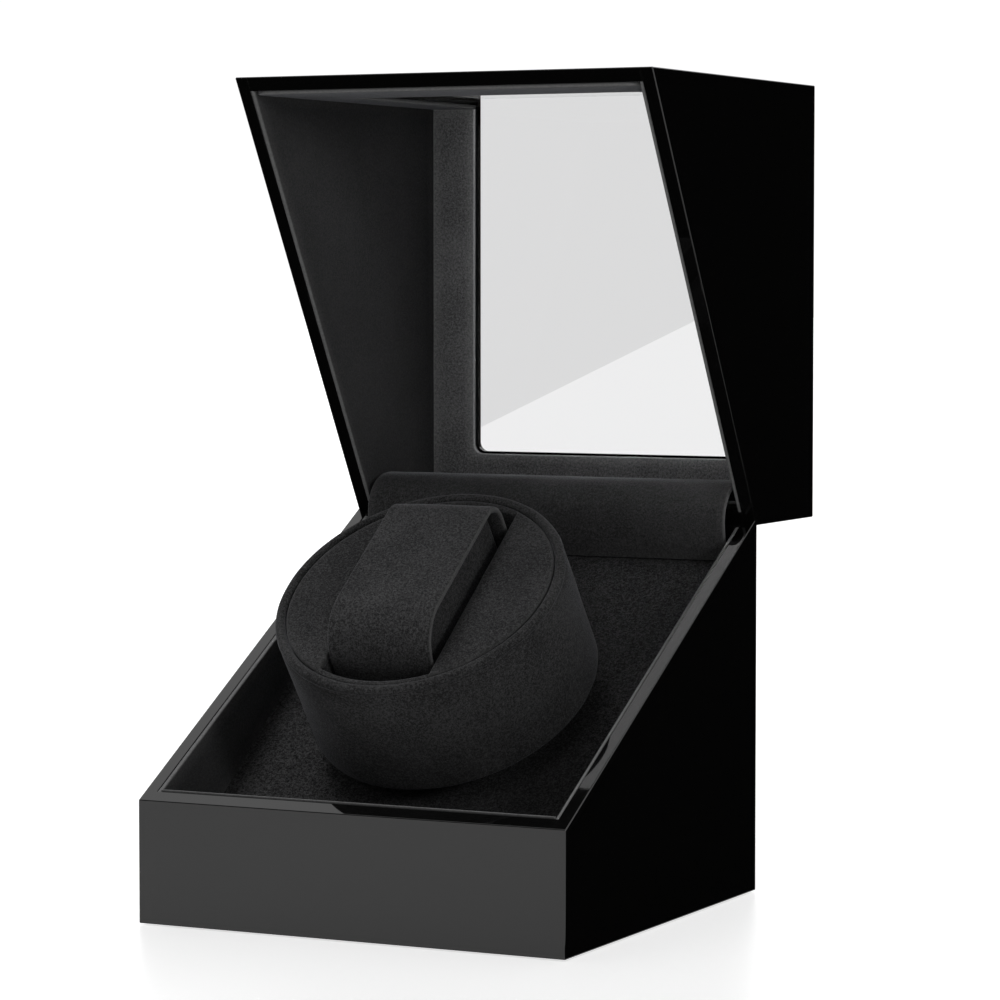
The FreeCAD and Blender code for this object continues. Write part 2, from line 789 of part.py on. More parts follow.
def board_screws():
    """Through the control board and its posts into the bottom board."""
    screw = pan_head_screw(2.0, 1.0, 1.2, 8.0)
    return [placed_screw(screw, Vector(x, y, circuit_top), Z) for x, y in board_corners()]


def make_electrics():
    board_top = circuit_top
    board_z = board_top - circuit_thickness
    circuit = box(-circuit_half, circuit_half, circuit_front, circuit_back, board_z, board_top)
    chips = [
        box(-8, 4, 32, 44, board_top, board_top + 2),
        box(-26, -18, 26, 34, board_top, board_top + 6),
        box(14, 26, 26, 32, board_top, board_top + 6),
        upright(3.2, board_top, board_top + 8, -22, 46),
        box(16, 26, 44, 51, board_top, board_top + 4),
    ]
    screws = board_screws()
    posts = [upright(2.6, floor_top, board_z, x, y) for x, y in board_corners()]
    circuit = union([circuit] + chips)
    for fixing in screws:
        circuit = circuit.cut(fixing)
        posts = [post.cut(fixing) for post in posts]
    save("control_board", circuit)
    save("board_posts", *posts)
    save("board_screws", *screws)

    outside = half_depth
    nose = outside + nose_reach
    jack = union([
        box(jack_x - 5.5, jack_x + 5.5, inner_y - 11, inner_y, control_height - 5.5, control_height + 5.5),
        rod(nose_radius, Vector(jack_x, inner_y - 1, control_height), Y, nose - inner_y + 1),
    ])
    jack = jack.cut(rod(2.75, Vector(jack_x, nose - 9, control_height), Y, 10))
    jack = union([jack, rod(1.05, Vector(jack_x, nose - 9.5, control_height), Y, 8.5)])
    save("dc_jack", jack)

    switch = union([
        box(knob_x - 8, knob_x + 8, inner_y - 8, inner_y, control_height - 8, control_height + 8),
        rod(nose_radius, Vector(knob_x, inner_y - 1, control_height), Y, nose - inner_y + 1),
    ])
    stem_radius = 2.0
    stem_back = inner_y - 4
    switch = switch.cut(rod(stem_radius + running_clearance, Vector(knob_x, stem_back - 0.3, control_height), Y, 20))
    save("mode_switch", switch)

    nut = Part.Face(Part.makePolygon([
        Vector(nut_radius * math.cos(math.radians(60 * k)), 0, nut_radius * math.sin(math.radians(60 * k)))
        for k in range(7)
    ])).extrude(Y * nut_thickness)
    nut = nut.cut(rod(nose_radius, Vector(0, -1, 0), Y, 10))
    nuts = []
    for x in (jack_x, knob_x):
        placed = nut.copy()
        placed.translate(Vector(x, outside, control_height))
        nuts.append(placed)
    save("panel_nuts", *nuts)

    knob_start = outside + 0.5
    knob = rod(knob_radius, Vector(knob_x, knob_start, control_height), Y, knob_length)
    knob = rounded(knob, 0.8, lambda e: near(e.BoundBox.YMin, knob_start + knob_length))
    grips = []
    for k in range(12):
        angle = math.radians(30 * k)
        x = knob_x + (knob_radius + 0.6) * math.cos(angle)
        z = control_height + (knob_radius + 0.6) * math.sin(angle)
        grips.append(rod(1.2, Vector(x, knob_start - 1, z), Y, knob_length - 1.5))
    knob = knob.cut(grips[0].multiFuse(grips[1:]))
    knob = knob.cut(rod(nut_radius + 0.6, Vector(knob_x, knob_start - 1, control_height), Y, 3.4))
    mark = box(knob_x - 0.4, knob_x + 0.4, knob_start + knob_length - 0.4, knob_start + knob_length + 1,
               control_height + 1.5, control_height + knob_radius - 1.2)
    stem = rod(stem_radius, Vector(knob_x, stem_back, control_height), Y, knob_start + 5 - stem_back)
    save("mode_knob", union([knob, stem]).cut(mark))

    bezel_radius = button_radius + 1.2
    shell = union([
        rod(bezel_radius, Vector(0, inner_y - 9, control_height), Y, outside - inner_y + 9),
        rod(bezel_radius + 1.3, Vector(0, outside, control_height), Y, 0.9),
        box(-6.5, 6.5, inner_y - 9, inner_y, control_height - 6.5, control_height + 6.5),
    ])
    bore_start = inner_y - 5
    shell = shell.cut(rod(button_radius + running_clearance, Vector(0, bore_start, control_height), Y, 30))
    save("power_switch", shell)
    button_start = bore_start + 1.6
    button_end = outside + 0.9 + button_proud
    button = rod(button_radius, Vector(0, button_start, control_height), Y, button_end - button_start)
    save("power_button", rounded(button, 0.6, lambda e: near(e.BoundBox.YMin, button_end)))

    make_leads(board_top)


def make_leads(board_top):
    """Leads from the inlet, the mode switch and the motor to the control board."""
    back = inner_y - 8
    supply = [(jack_x, inner_y - 11, control_height), (jack_x, 46, control_height)]
    supply += [(jack_x, 46, board_top + 4), (-25.2, 46, board_top + 4)]
    select = [(knob_x, back, control_height), (knob_x, 48, control_height)]
    select += [(knob_x, 48, board_top + 2), (26, 48, board_top + 2)]
    beside = motor_radius - 1.5
    leave = [(6, pulley_spacing - math.sqrt(beside ** 2 - 36), -14), (6, 17, -14), (21, 17, -14)]
    drive = [tuple(on_deck(Part.Vertex(*point)).Point) for point in leave]
    drive.append((21, drive[-1][1], board_top + 6))
    leads = [bent_lead(points, lead_radius, lead_bend) for points in (supply, select, drive)]
    can = on_deck(upright(beside, -motor_face, -motor_top, 0, pulley_spacing))
    save("inner_leads", *[lead.cut(can) for lead in leads])


def main():
    os.makedirs("parts", exist_ok=True)
    make_base()
    make_deck()
    make_hinges()
    make_hinge_cover()
    make_lid()
    hub_top = make_drum()
    make_pillow()
    make_drive(hub_top)
    make_electrics()


main()
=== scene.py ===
import json
import math
from functools import partial

import bmesh
import bpy
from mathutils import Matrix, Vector, noise


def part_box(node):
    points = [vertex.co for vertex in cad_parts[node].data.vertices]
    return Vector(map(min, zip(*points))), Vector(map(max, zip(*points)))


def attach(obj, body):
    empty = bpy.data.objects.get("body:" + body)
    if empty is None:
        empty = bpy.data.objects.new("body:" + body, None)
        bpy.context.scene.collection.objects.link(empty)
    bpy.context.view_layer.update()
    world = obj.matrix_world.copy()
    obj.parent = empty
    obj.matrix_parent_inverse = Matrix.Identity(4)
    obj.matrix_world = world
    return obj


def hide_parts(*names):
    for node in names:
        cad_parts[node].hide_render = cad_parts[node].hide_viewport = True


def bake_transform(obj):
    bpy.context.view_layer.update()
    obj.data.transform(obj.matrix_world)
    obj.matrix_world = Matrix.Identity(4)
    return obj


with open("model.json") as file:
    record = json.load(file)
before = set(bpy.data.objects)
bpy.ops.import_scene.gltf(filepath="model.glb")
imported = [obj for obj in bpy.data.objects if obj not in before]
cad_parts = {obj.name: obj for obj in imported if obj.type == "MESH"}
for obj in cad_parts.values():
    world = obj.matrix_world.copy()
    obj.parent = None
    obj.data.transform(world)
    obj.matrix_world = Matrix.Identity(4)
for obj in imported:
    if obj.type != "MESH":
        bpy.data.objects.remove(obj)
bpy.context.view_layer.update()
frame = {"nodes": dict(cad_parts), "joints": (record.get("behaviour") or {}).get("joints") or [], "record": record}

mm = 0.001
scene = bpy.context.scene
joints = {joint["name"]: joint for joint in frame["joints"]}
print("frame loaded,", len(frame["nodes"]), "nodes")


cameraView = {"place": (0.52999, -1.03602, 0.19242), "azimuth": 26.424, "down": 3.350, "lens": 138.77}


def addCamera():
    data = bpy.data.cameras.new("camera")
    data.lens = cameraView["lens"]
    data.sensor_width = 36
    data.clip_start = 0.02
    data.clip_end = 60
    camera = bpy.data.objects.new("camera", data)
    camera.location = cameraView["place"]
    tilt = math.pi / 2 - math.radians(cameraView["down"])
    camera.rotation_euler = (tilt, 0, math.radians(cameraView["azimuth"]))
    scene.collection.objects.link(camera)
    scene.camera = camera


def addObject(name, points, faces, rubbedAndHighlight=None):
    mesh = bpy.data.meshes.new(name)
    mesh.from_pydata([tuple(p) for p in points], [], faces)
    # per-point edge mask that carries rubbed nap and a painted edge highlight on the cloth
    if rubbedAndHighlight:
        mesh.attributes.new("rubbedAndHighlight", "FLOAT", "POINT").data.foreach_set("value", rubbedAndHighlight)
    mesh.validate()
    piece = bpy.data.objects.new(name, mesh)
    scene.collection.objects.link(piece)
    mesh.shade_smooth()
    return piece


def plainMaterial(name):
    material = bpy.data.materials.new(name)
    material.use_nodes = True
    nodes = material.node_tree.nodes
    return material, nodes, material.node_tree.links, nodes["Principled BSDF"], nodes["Material Output"]


def mathNode(nodes, links, operation, first, second, third=None, clamp=False):
    node = nodes.new("ShaderNodeMath")
    node.operation = operation
    node.use_clamp = clamp
    for socket, value in zip(node.inputs, (first, second, third)):
        if value is None:
            continue
        if isinstance(value, (int, float)):
            socket.default_value = value
        else:
            links.new(value, socket)
    return node.outputs[0]


studio = {
    "world": 1.05,
    "worldFill": 0.32,
    "floorSize": 30.0,
    "floorColor": (0.93, 0.93, 0.93),
    "floorGlow": 0.67,
    "floorRoughness": 0.36,
    "floorSpecular": 0.8,
    # soft boxes: place, size, power, aim
    "lights": {
        "keyLight": ((-0.36, -0.03, 1.10), 0.40, 13.0, (0.0, 0.0, 0.1)),
        "frontLight": ((-0.10, -1.20, 0.65), 0.5, 1.3, (0.0, 0.05, 0.15)),
        "rightLight": ((1.00, -0.50, 0.42), 0.20, 3.5, (0.0, 0.0, 0.12)),
    },
    # black cards that only the polished faces mirror: right-hand faces, rim of the lid, window
    "blackCards": {
        "cardUpright": [(0.045, 0.49, 0.0), (0.40, 0.315, 0.0),
                        (0.40, 0.315, 0.36), (0.045, 0.49, 0.36)],
        "cardLow": [(0.0705, -0.09, 0.0006), (0.42, -0.09, 0.0006),
                    (0.42, 0.50, 0.0006), (0.0705, 0.50, 0.0006)],
        "cardRim": [(-0.30, -0.30, 0.068), (0.10, -0.30, 0.068),
                    (0.10, -0.052, 0.068), (-0.30, -0.052, 0.068)],
        "cardSide": [(-0.30, -0.052, 0.068), (-0.0705, -0.052, 0.068),
                     (-0.0705, 0.12, 0.068), (-0.30, 0.12, 0.068)],
        "cardWindow": [(0.04, -0.30, 0.068), (-0.32, -0.10, 0.068),
                       (-0.32, -0.10, 0.42), (0.04, -0.30, 0.42)],
    },
    # pale cards behind the window, seen only through it: glow and corners
    "paleCards": {
        "cardGrey": (0.795, [(-0.2376, 0.45, 0.1172), (-0.0967, 0.45, 0.1823),
                             (-0.0967, 0.45, 0.40), (-0.2376, 0.45, 0.40)]),
        "cardPale": (0.958, [(-0.27, 0.46, 0.06), (-0.06, 0.46, 0.06),
                             (-0.06, 0.46, 0.42), (-0.27, 0.46, 0.42)]),
    },
}


def showTo(card, mirror, through):
    card.visible_camera = False
    card.visible_diffuse = False
    card.visible_shadow = False
    card.visible_glossy = mirror
    card.visible_transmission = through
    card.visible_volume_scatter = False


def cardMaterial(name, strength, oneSided):
    material, nodes, links, shader, output = plainMaterial(name)
    nodes.remove(shader)
    glow = nodes.new("ShaderNodeEmission")
    glow.inputs["Strength"].default_value = strength
    if not oneSided:
        links.new(glow.outputs[0], output.inputs["Surface"])
        return material
    clear = nodes.new("ShaderNodeBsdfTransparent")
    mix = nodes.new("ShaderNodeMixShader")
    side = nodes.new("ShaderNodeNewGeometry")
    path = nodes.new("ShaderNodeLightPath")
    calc = partial(mathNode, nodes, links)
    unmirrored = calc("LESS_THAN", path.outputs["Glossy Depth"], 0.5)
    links.new(calc("MAXIMUM", side.outputs["Backfacing"], unmirrored), mix.inputs[0])
    links.new(glow.outputs[0], mix.inputs[1])
    links.new(clear.outputs[0], mix.inputs[2])
    links.new(mix.outputs[0], output.inputs["Surface"])
    return material


def buildWorld():
    world = bpy.data.worlds.new("studioWorld")
    world.use_nodes = True
    nodes, links = world.node_tree.nodes, world.node_tree.links
    path = nodes.new("ShaderNodeLightPath")
    strength = nodes.new("ShaderNodeMapRange")
    strength.inputs["To Min"].default_value = studio["world"]
    strength.inputs["To Max"].default_value = studio["worldFill"]
    links.new(path.outputs["Is Diffuse Ray"], strength.inputs["Value"])
    nodes["Background"].inputs["Color"].default_value = (1, 1, 1, 1)
    links.new(strength.outputs["Result"], nodes["Background"].inputs["Strength"])
    scene.world = world


def buildStudio():
    scene.view_settings.view_transform = "Standard"
    buildWorld()
    half = studio["floorSize"] / 2
    corners = [(-half, -half, 0), (half, -half, 0), (half, half, 0), (-half, half, 0)]
    floor = addObject("floor", corners, [(0, 1, 2, 3)])
    material, nodes, links, shader, output = plainMaterial("floorPaper")
    shader.inputs["Base Color"].default_value = (*studio["floorColor"], 1)
    shader.inputs["Roughness"].default_value = studio["floorRoughness"]
    shader.inputs["Specular IOR Level"].default_value = studio["floorSpecular"]
    shader.inputs["Emission Color"].default_value = (1, 1, 1, 1)
    shader.inputs["Emission Strength"].default_value = studio["floorGlow"]
    floor.data.materials.append(material)

    aside = bpy.data.collections.new("notLitByLamps")
    aside.objects.link(floor)
    aside.collection_objects[0].light_linking.link_state = "EXCLUDE"
    for name, (place, size, power, aim) in studio["lights"].items():
        data = bpy.data.lights.new(name, "AREA")
        data.shape = "SQUARE"
        data.size = size
        data.energy = power
        light = bpy.data.objects.new(name, data)
        light.visible_glossy = name != "keyLight"
        light.location = place
        light.light_linking.receiver_collection = aside
        light.rotation_euler = (Vector(aim) - Vector(place)).to_track_quat("-Z", "Y").to_euler()
        scene.collection.objects.link(light)

    black = cardMaterial("cardBlack", 0.0, True)
    for name, corners in studio["blackCards"].items():
        card = addObject(name, corners, [(0, 1, 2, 3)])
        card.data.materials.append(black)
        showTo(card, True, True)
    for name, (glow, corners) in studio["paleCards"].items():
        card = addObject(name, corners, [(0, 1, 2, 3)])
        card.data.materials.append(cardMaterial(name, glow, False))
        showTo(card, False, True)


addCamera()
buildStudio()
print("studio ready")


def newGroup(name, inputs, outputs):
    group = bpy.data.node_groups.new(name, "ShaderNodeTree")
    for label, kind, value in inputs:
        socket = group.interface.new_socket(label, in_out="INPUT", socket_type=kind)
        socket.default_value = value
    for label, kind in outputs:
        group.interface.new_socket(label, in_out="OUTPUT", socket_type=kind)
    given = group.nodes.new("NodeGroupInput")
    result = group.nodes.new("NodeGroupOutput")
    return group, group.nodes, group.links, given, result


def noiseNode(nodes, links, place, scale, detail, rough):
    node = nodes.new("ShaderNodeTexNoise")
    node.inputs["Detail"].default_value = detail
    node.inputs["Roughness"].default_value = rough
    links.new(place, node.inputs["Vector"])
    if isinstance(scale, (int, float)):
        node.inputs["Scale"].default_value = scale
    else:
        links.new(scale, node.inputs["Scale"])
    return node.outputs["Fac"]


def colorMix(nodes, links, share, first, second):
    node = nodes.new("ShaderNodeMix")
    node.data_type = "RGBA"
    links.new(share, node.inputs["Factor"])
    for socket, value in ((node.inputs["A"], first), (node.inputs["B"], second)):
        if isinstance(value, tuple):
            socket.default_value = value
        else:
            links.new(value, socket)
    return node.outputs["Result"]


def makeNapGroup():
    group, nodes, links, given, result = newGroup(
        "clothNap",
        [("Dark", "NodeSocketColor", (0.01, 0.01, 0.01, 1)),
         ("Light", "NodeSocketColor", (0.05, 0.05, 0.05, 1)),
         ("Grain", "NodeSocketFloat", 1500.0), ("Brushing", "NodeSocketFloat", 60.0),
         ("Brushed", "NodeSocketFloat", 0.35), ("Relief", "NodeSocketFloat", 0.4),
         ("Contrast", "NodeSocketFloat", 1.0), ("EdgeRubAndHighlight", "NodeSocketColor", (0.1, 0.1, 0.1, 1))],
        [("Color", "NodeSocketColor"), ("Roughness", "NodeSocketFloat"), ("Normal", "NodeSocketVector")])
    calc = partial(mathNode, nodes, links)
    place = nodes.new("ShaderNodeTexCoord").outputs["Object"]
    fibre = noiseNode(nodes, links, place, given.outputs["Grain"], 3.0, 0.7)
    halfGrain = calc("MULTIPLY", given.outputs["Grain"], 0.45)
    clump = noiseNode(nodes, links, place, halfGrain, 2.0, 0.6)
    brushed = noiseNode(nodes, links, place, given.outputs["Brushing"], 3.0, 0.55)
    grain = calc("MULTIPLY_ADD", clump, 0.45, calc("MULTIPLY", fibre, 0.8))
    spread = calc("MULTIPLY", given.outputs["Contrast"], 2.6)
    contrast = calc("MULTIPLY_ADD", calc("SUBTRACT", grain, 0.625), spread, 0.4)
    sweep = calc("MULTIPLY", calc("SUBTRACT", brushed, 0.5), calc("MULTIPLY", given.outputs["Brushed"], 3.0))
    share = calc("ADD", contrast, sweep, clamp=True)
    color = colorMix(nodes, links, share, given.outputs["Dark"], given.outputs["Light"])
    # the edge colour is mixed in along the edges: partly rubbed nap, partly a painted highlight where light would
    # catch the edges
    rubbedAndHighlight = nodes.new("ShaderNodeAttribute")
    rubbedAndHighlight.attribute_name = "rubbedAndHighlight"
    wornAndHighlight = calc("MULTIPLY", rubbedAndHighlight.outputs["Fac"], calc("ADD", clump, 0.4), clamp=True)
    color = colorMix(nodes, links, wornAndHighlight, color, given.outputs["EdgeRubAndHighlight"])
    links.new(color, result.inputs["Color"])
    rough = calc("MULTIPLY_ADD", share, -0.12, 0.98)
    links.new(rough, result.inputs["Roughness"])
    bump = nodes.new("ShaderNodeBump")
    bump.inputs["Distance"].default_value = 0.00025
    links.new(grain, bump.inputs["Height"])
    links.new(given.outputs["Relief"], bump.inputs["Strength"])
    links.new(bump.outputs["Normal"], result.inputs["Normal"])
    return group


def makeRubGroup():
    group, nodes, links, given, result = newGroup(
        "edgeRub", [("Reach", "NodeSocketFloat", 0.0004), ("Patches", "NodeSocketFloat", 120.0)],
        [("Mask", "NodeSocketFloat")])
    calc = partial(mathNode, nodes, links)
    bevel = nodes.new("ShaderNodeBevel")
    bevel.samples = 4
    links.new(given.outputs["Reach"], bevel.inputs["Radius"])
    flat = nodes.new("ShaderNodeNewGeometry")
    dot = nodes.new("ShaderNodeVectorMath")
    dot.operation = "DOT_PRODUCT"
    links.new(bevel.outputs["Normal"], dot.inputs[0])
    links.new(flat.outputs["Normal"], dot.inputs[1])
    turn = calc("SUBTRACT", 1.0, dot.outputs["Value"])
    place = nodes.new("ShaderNodeTexCoord").outputs["Object"]
    patch = noiseNode(nodes, links, place, given.outputs["Patches"], 4.0, 0.6)
    wornAndHighlight = calc("MULTIPLY", calc("MULTIPLY", turn, 4.0), patch, clamp=True)
    links.new(wornAndHighlight, result.inputs["Mask"])
    return group


def makeFilmGroup():
    group, nodes, links, given, result = newGroup(
        "polishedFilm",
        [("Deep", "NodeSocketColor", (0.002, 0.002, 0.002, 1)),
         ("Rubbed", "NodeSocketColor", (0.03, 0.03, 0.03, 1)), ("Gloss", "NodeSocketFloat", 0.04),
         ("Haze", "NodeSocketFloat", 0.05), ("Flow", "NodeSocketFloat", 0.05)],
        [("Color", "NodeSocketColor"), ("Roughness", "NodeSocketFloat"), ("Normal", "NodeSocketVector")])
    calc = partial(mathNode, nodes, links)
    place = nodes.new("ShaderNodeTexCoord").outputs["Object"]
    rub = nodes.new("ShaderNodeGroup")
    rub.node_tree = bpy.data.node_groups["edgeRub"]
    rub.inputs["Reach"].default_value = 0.0003
    cloud = noiseNode(nodes, links, place, 35.0, 4.0, 0.6)
    speck = noiseNode(nodes, links, place, 2400.0, 1.0, 0.5)
    dust = calc("MULTIPLY", calc("GREATER_THAN", speck, 0.78), 0.35)
    share = calc("ADD", calc("MULTIPLY", rub.outputs["Mask"], 0.6), dust, clamp=True)
    color = colorMix(nodes, links, share, given.outputs["Deep"], given.outputs["Rubbed"])
    links.new(color, result.inputs["Color"])
    haze = calc("MULTIPLY", calc("SUBTRACT", cloud, 0.4), given.outputs["Haze"], clamp=True)
    rough = calc("ADD", given.outputs["Gloss"], haze)
    rough = calc("MULTIPLY_ADD", rub.outputs["Mask"], 0.15, rough, clamp=True)
    links.new(rough, result.inputs["Roughness"])
    peel = noiseNode(nodes, links, place, 260.0, 1.5, 0.4)
    bump = nodes.new("ShaderNodeBump")
    bump.inputs["Distance"].default_value = 0.00002
    links.new(peel, bump.inputs["Height"])
    links.new(given.outputs["Flow"], bump.inputs["Strength"])
    links.new(bump.outputs["Normal"], result.inputs["Normal"])
    return group


def makeMouldedGroup():
    group, nodes, links, given, result = newGroup(
        "fineSurface",
        [("Base", "NodeSocketColor", (0.02, 0.02, 0.02, 1)),
         ("Other", "NodeSocketColor", (0.05, 0.05, 0.05, 1)),
         ("Grain", "NodeSocketFloat", 900.0), ("Stretch", "NodeSocketFloat", 1.0),
         ("Rough", "NodeSocketFloat", 0.4), ("Relief", "NodeSocketFloat", 0.2)],
        [("Color", "NodeSocketColor"), ("Roughness", "NodeSocketFloat"), ("Normal", "NodeSocketVector")])
    calc = partial(mathNode, nodes, links)
    place = nodes.new("ShaderNodeTexCoord").outputs["Object"]
    scale = nodes.new("ShaderNodeCombineXYZ")
    scale.inputs["Y"].default_value = 1.0
    scale.inputs["Z"].default_value = 1.0
    links.new(given.outputs["Stretch"], scale.inputs["X"])
    stretched = nodes.new("ShaderNodeVectorMath")
    stretched.operation = "MULTIPLY"
    links.new(place, stretched.inputs[0])
    links.new(scale.outputs[0], stretched.inputs[1])
    grain = noiseNode(nodes, links, stretched.outputs[0], given.outputs["Grain"], 3.0, 0.6)
    patches = noiseNode(nodes, links, place, 90.0, 3.0, 0.5)
    rub = nodes.new("ShaderNodeGroup")
    rub.node_tree = bpy.data.node_groups["edgeRub"]
    wornAndHighlight = calc("MULTIPLY", rub.outputs["Mask"], 0.7)
    share = calc("ADD", calc("MULTIPLY", grain, patches), wornAndHighlight, clamp=True)
    color = colorMix(nodes, links, share, given.outputs["Base"], given.outputs["Other"])
    links.new(color, result.inputs["Color"])
    rough = calc("MULTIPLY_ADD", calc("SUBTRACT", grain, 0.5), 0.25, given.outputs["Rough"], clamp=True)
    links.new(rough, result.inputs["Roughness"])
    bump = nodes.new("ShaderNodeBump")
    bump.inputs["Distance"].default_value = 0.0001
    links.new(grain, bump.inputs["Height"])
    links.new(given.outputs["Relief"], bump.inputs["Strength"])
    links.new(bump.outputs["Normal"], result.inputs["Normal"])
    return group


makeRubGroup()
makeNapGroup()
makeFilmGroup()
makeMouldedGroup()


clothFinishes = {
    # dark and light of the nap, the lighter edge colour (rubbed nap and a painted edge highlight), grain per
    # metre, contrast, brushing per metre, brushed share, relief, sheen and its roughness
    "linerVelvet": (0.012, 0.036, 0.10, 3000, 0.9, 30, 0.20, 0.30, 0.12, 0.30),
    # window strip: the lining velvet made lighter to stand for the light falling on the strip, painted light; its
    # bright edge colour is a painted highlight
    "windowVelvetPaintedLight": (0.055, 0.215, 0.45, 2700, 1.2, 60, 0.20, 0.45, 0.15, 0.30),
    "coverVelvet": (0.010, 0.042, 0.08, 3000, 1.2, 40, 0.25, 0.45, 0.16, 0.28),
    "deckSuede": (0.003, 0.036, 0.05, 2300, 1.6, 30, 0.10, 0.9, 0.05, 0.35),
    "drumVelvet": (0.007, 0.035, 0.05, 2900, 1.8, 45, 0.30, 0.5, 0.10, 0.30),
    "pillowVelvet": (0.008, 0.037, 0.06, 2900, 1.8, 45, 0.25, 0.5, 0.10, 0.30),
    "feltPad": (0.010, 0.030, 0.05, 1500, 1.0, 80, 0.25, 1.0, 0.10, 0.50),
}

solidFinishes = {
    # base and other colour, grain, stretch, roughness, relief, metallic
    "blackPlastic": ((0.012, 0.012, 0.013), (0.035, 0.035, 0.036), 1400, 1.0, 0.38, 0.25, 0.0),
    "steel": ((0.50, 0.50, 0.51), (0.68, 0.68, 0.68), 700, 8.0, 0.30, 0.15, 1.0),
    "bronze": ((0.42, 0.27, 0.13), (0.55, 0.38, 0.20), 900, 1.0, 0.40, 0.2, 1.0),
    "beltRubber": ((0.012, 0.012, 0.012), (0.03, 0.03, 0.03), 1600, 1.0, 0.75, 0.4, 0.0),
    "boardCore": ((0.30, 0.20, 0.12), (0.44, 0.32, 0.20), 600, 6.0, 0.80, 0.6, 0.0),
    "leadSleeve": ((0.25, 0.015, 0.012), (0.36, 0.03, 0.02), 800, 1.0, 0.45, 0.1, 0.0),
    "circuit": ((0.006, 0.045, 0.02), (0.02, 0.09, 0.04), 420, 3.0, 0.35, 0.3, 0.0),
}

lacquerLook = {"deep": 0.0015, "rubbedAndHighlight": 0.02, "gloss": 0.025, "haze": 0.03, "flow": 0.06, "ior": 1.5}
acrylicLook = {"tint": 0.955, "ior": 1.46, "gloss": 0.0}


def groupIn(nodes, name, values):
    node = nodes.new("ShaderNodeGroup")
    node.node_tree = bpy.data.node_groups[name]
    for label, value in values.items():
        if isinstance(value, tuple):
            value = (*value, 1)
        node.inputs[label].default_value = value
    return node


def joinGroup(links, node, shader):
    links.new(node.outputs["Color"], shader.inputs["Base Color"])
    links.new(node.outputs["Roughness"], shader.inputs["Roughness"])
    links.new(node.outputs["Normal"], shader.inputs["Normal"])


def makeClothMaterial(name):
    dark, light, edge, grain, contrast, brushing, brushed, relief, sheen, sheenRough = clothFinishes[name]
    material, nodes, links, shader, output = plainMaterial(name)
    node = groupIn(nodes, "clothNap", {
        "Dark": (dark, dark, dark * 1.02), "Light": (light, light, light * 1.02), "EdgeRubAndHighlight": (edge, edge, edge),
        "Grain": grain, "Contrast": contrast, "Brushing": brushing, "Brushed": brushed, "Relief": relief})
    joinGroup(links, node, shader)
    shader.inputs["Specular IOR Level"].default_value = 0.12
    shader.inputs["Sheen Weight"].default_value = sheen
    shader.inputs["Sheen Roughness"].default_value = sheenRough
    shader.inputs["Sheen Tint"].default_value = (0.9, 0.92, 1.0, 1)
    return material


def makeSolidMaterial(name):
    base, other, grain, stretch, rough, relief, metallic = solidFinishes[name]
    material, nodes, links, shader, output = plainMaterial(name)
    node = groupIn(nodes, "fineSurface", {
        "Base": base, "Other": other, "Grain": grain, "Stretch": stretch, "Rough": rough, "Relief": relief})
    joinGroup(links, node, shader)
    shader.inputs["Metallic"].default_value = metallic
    return material


def makeLacquer():
    material, nodes, links, shader, output = plainMaterial("lacquer")
    deep, rubbedAndHighlight = lacquerLook["deep"], lacquerLook["rubbedAndHighlight"]
    node = groupIn(nodes, "polishedFilm", {
        "Deep": (deep, deep, deep), "Rubbed": (rubbedAndHighlight, rubbedAndHighlight, rubbedAndHighlight), "Gloss": lacquerLook["gloss"],
        "Haze": lacquerLook["haze"], "Flow": lacquerLook["flow"]})
    joinGroup(links, node, shader)
    shader.inputs["IOR"].default_value = lacquerLook["ior"]
    return material


def makeAcrylic():
    material, nodes, links, shader, output = plainMaterial("acrylic")
    tint = acrylicLook["tint"]
    shader.inputs["Base Color"].default_value = (tint, tint, tint * 1.005, 1)
    shader.inputs["Transmission Weight"].default_value = 1.0
    shader.inputs["Roughness"].default_value = acrylicLook["gloss"]
    shader.inputs["IOR"].default_value = acrylicLook["ior"]
    return material


finishes = {name: makeClothMaterial(name) for name in clothFinishes}
finishes.update({name: makeSolidMaterial(name) for name in solidFinishes})
finishes["lacquer"] = makeLacquer()
finishes["acrylic"] = makeAcrylic()
slotFinish = {
    "lacquer": "lacquer", "board_core": "boardCore", "felt_pad": "feltPad", "liner_velvet": "linerVelvet",
    "cover_velvet": "coverVelvet", "deck_suede": "deckSuede", "drum_velvet": "drumVelvet",
    "pillow_velvet": "pillowVelvet", "black_plastic": "blackPlastic", "acrylic": "acrylic", "steel": "steel",
    "bronze": "bronze", "belt_rubber": "beltRubber", "circuit": "circuit", "lead_sleeve": "leadSleeve",
}
for part in frame["record"]["subparts"]:
    node = frame["nodes"][part["node"]]
    for index in range(len(node.data.materials)):
        node.data.materials[index] = finishes[slotFinish[part["material_slot"]]]
print("finishes ready")


# panels of cloth on card, laid out flat in u and v and placed by a function of (u, v, height)

def roundOff(distance, roll):
    near = min(max(distance, 0.0), roll) / roll
    return roll * (1 - math.sqrt(1 - (1 - near) ** 2))


def stops(length, roll, spacing):
    near = [roll * (1 - math.cos(math.pi / 2 * k / 4)) for k in range(5)]
    count = max(1, round((length - 2 * roll) / spacing))
    middle = [roll + (length - 2 * roll) * k / count for k in range(1, count)]
    return near + middle + [length - d for d in reversed(near)]


rippleSize = 14 * mm
rippleEdge = 3 * mm


def ripple(u, v, size, seed):
    spot = Vector((u / size, v / size, seed * 7.3))
    return noise.noise(spot) + 0.5 * noise.noise(spot * 2.7)


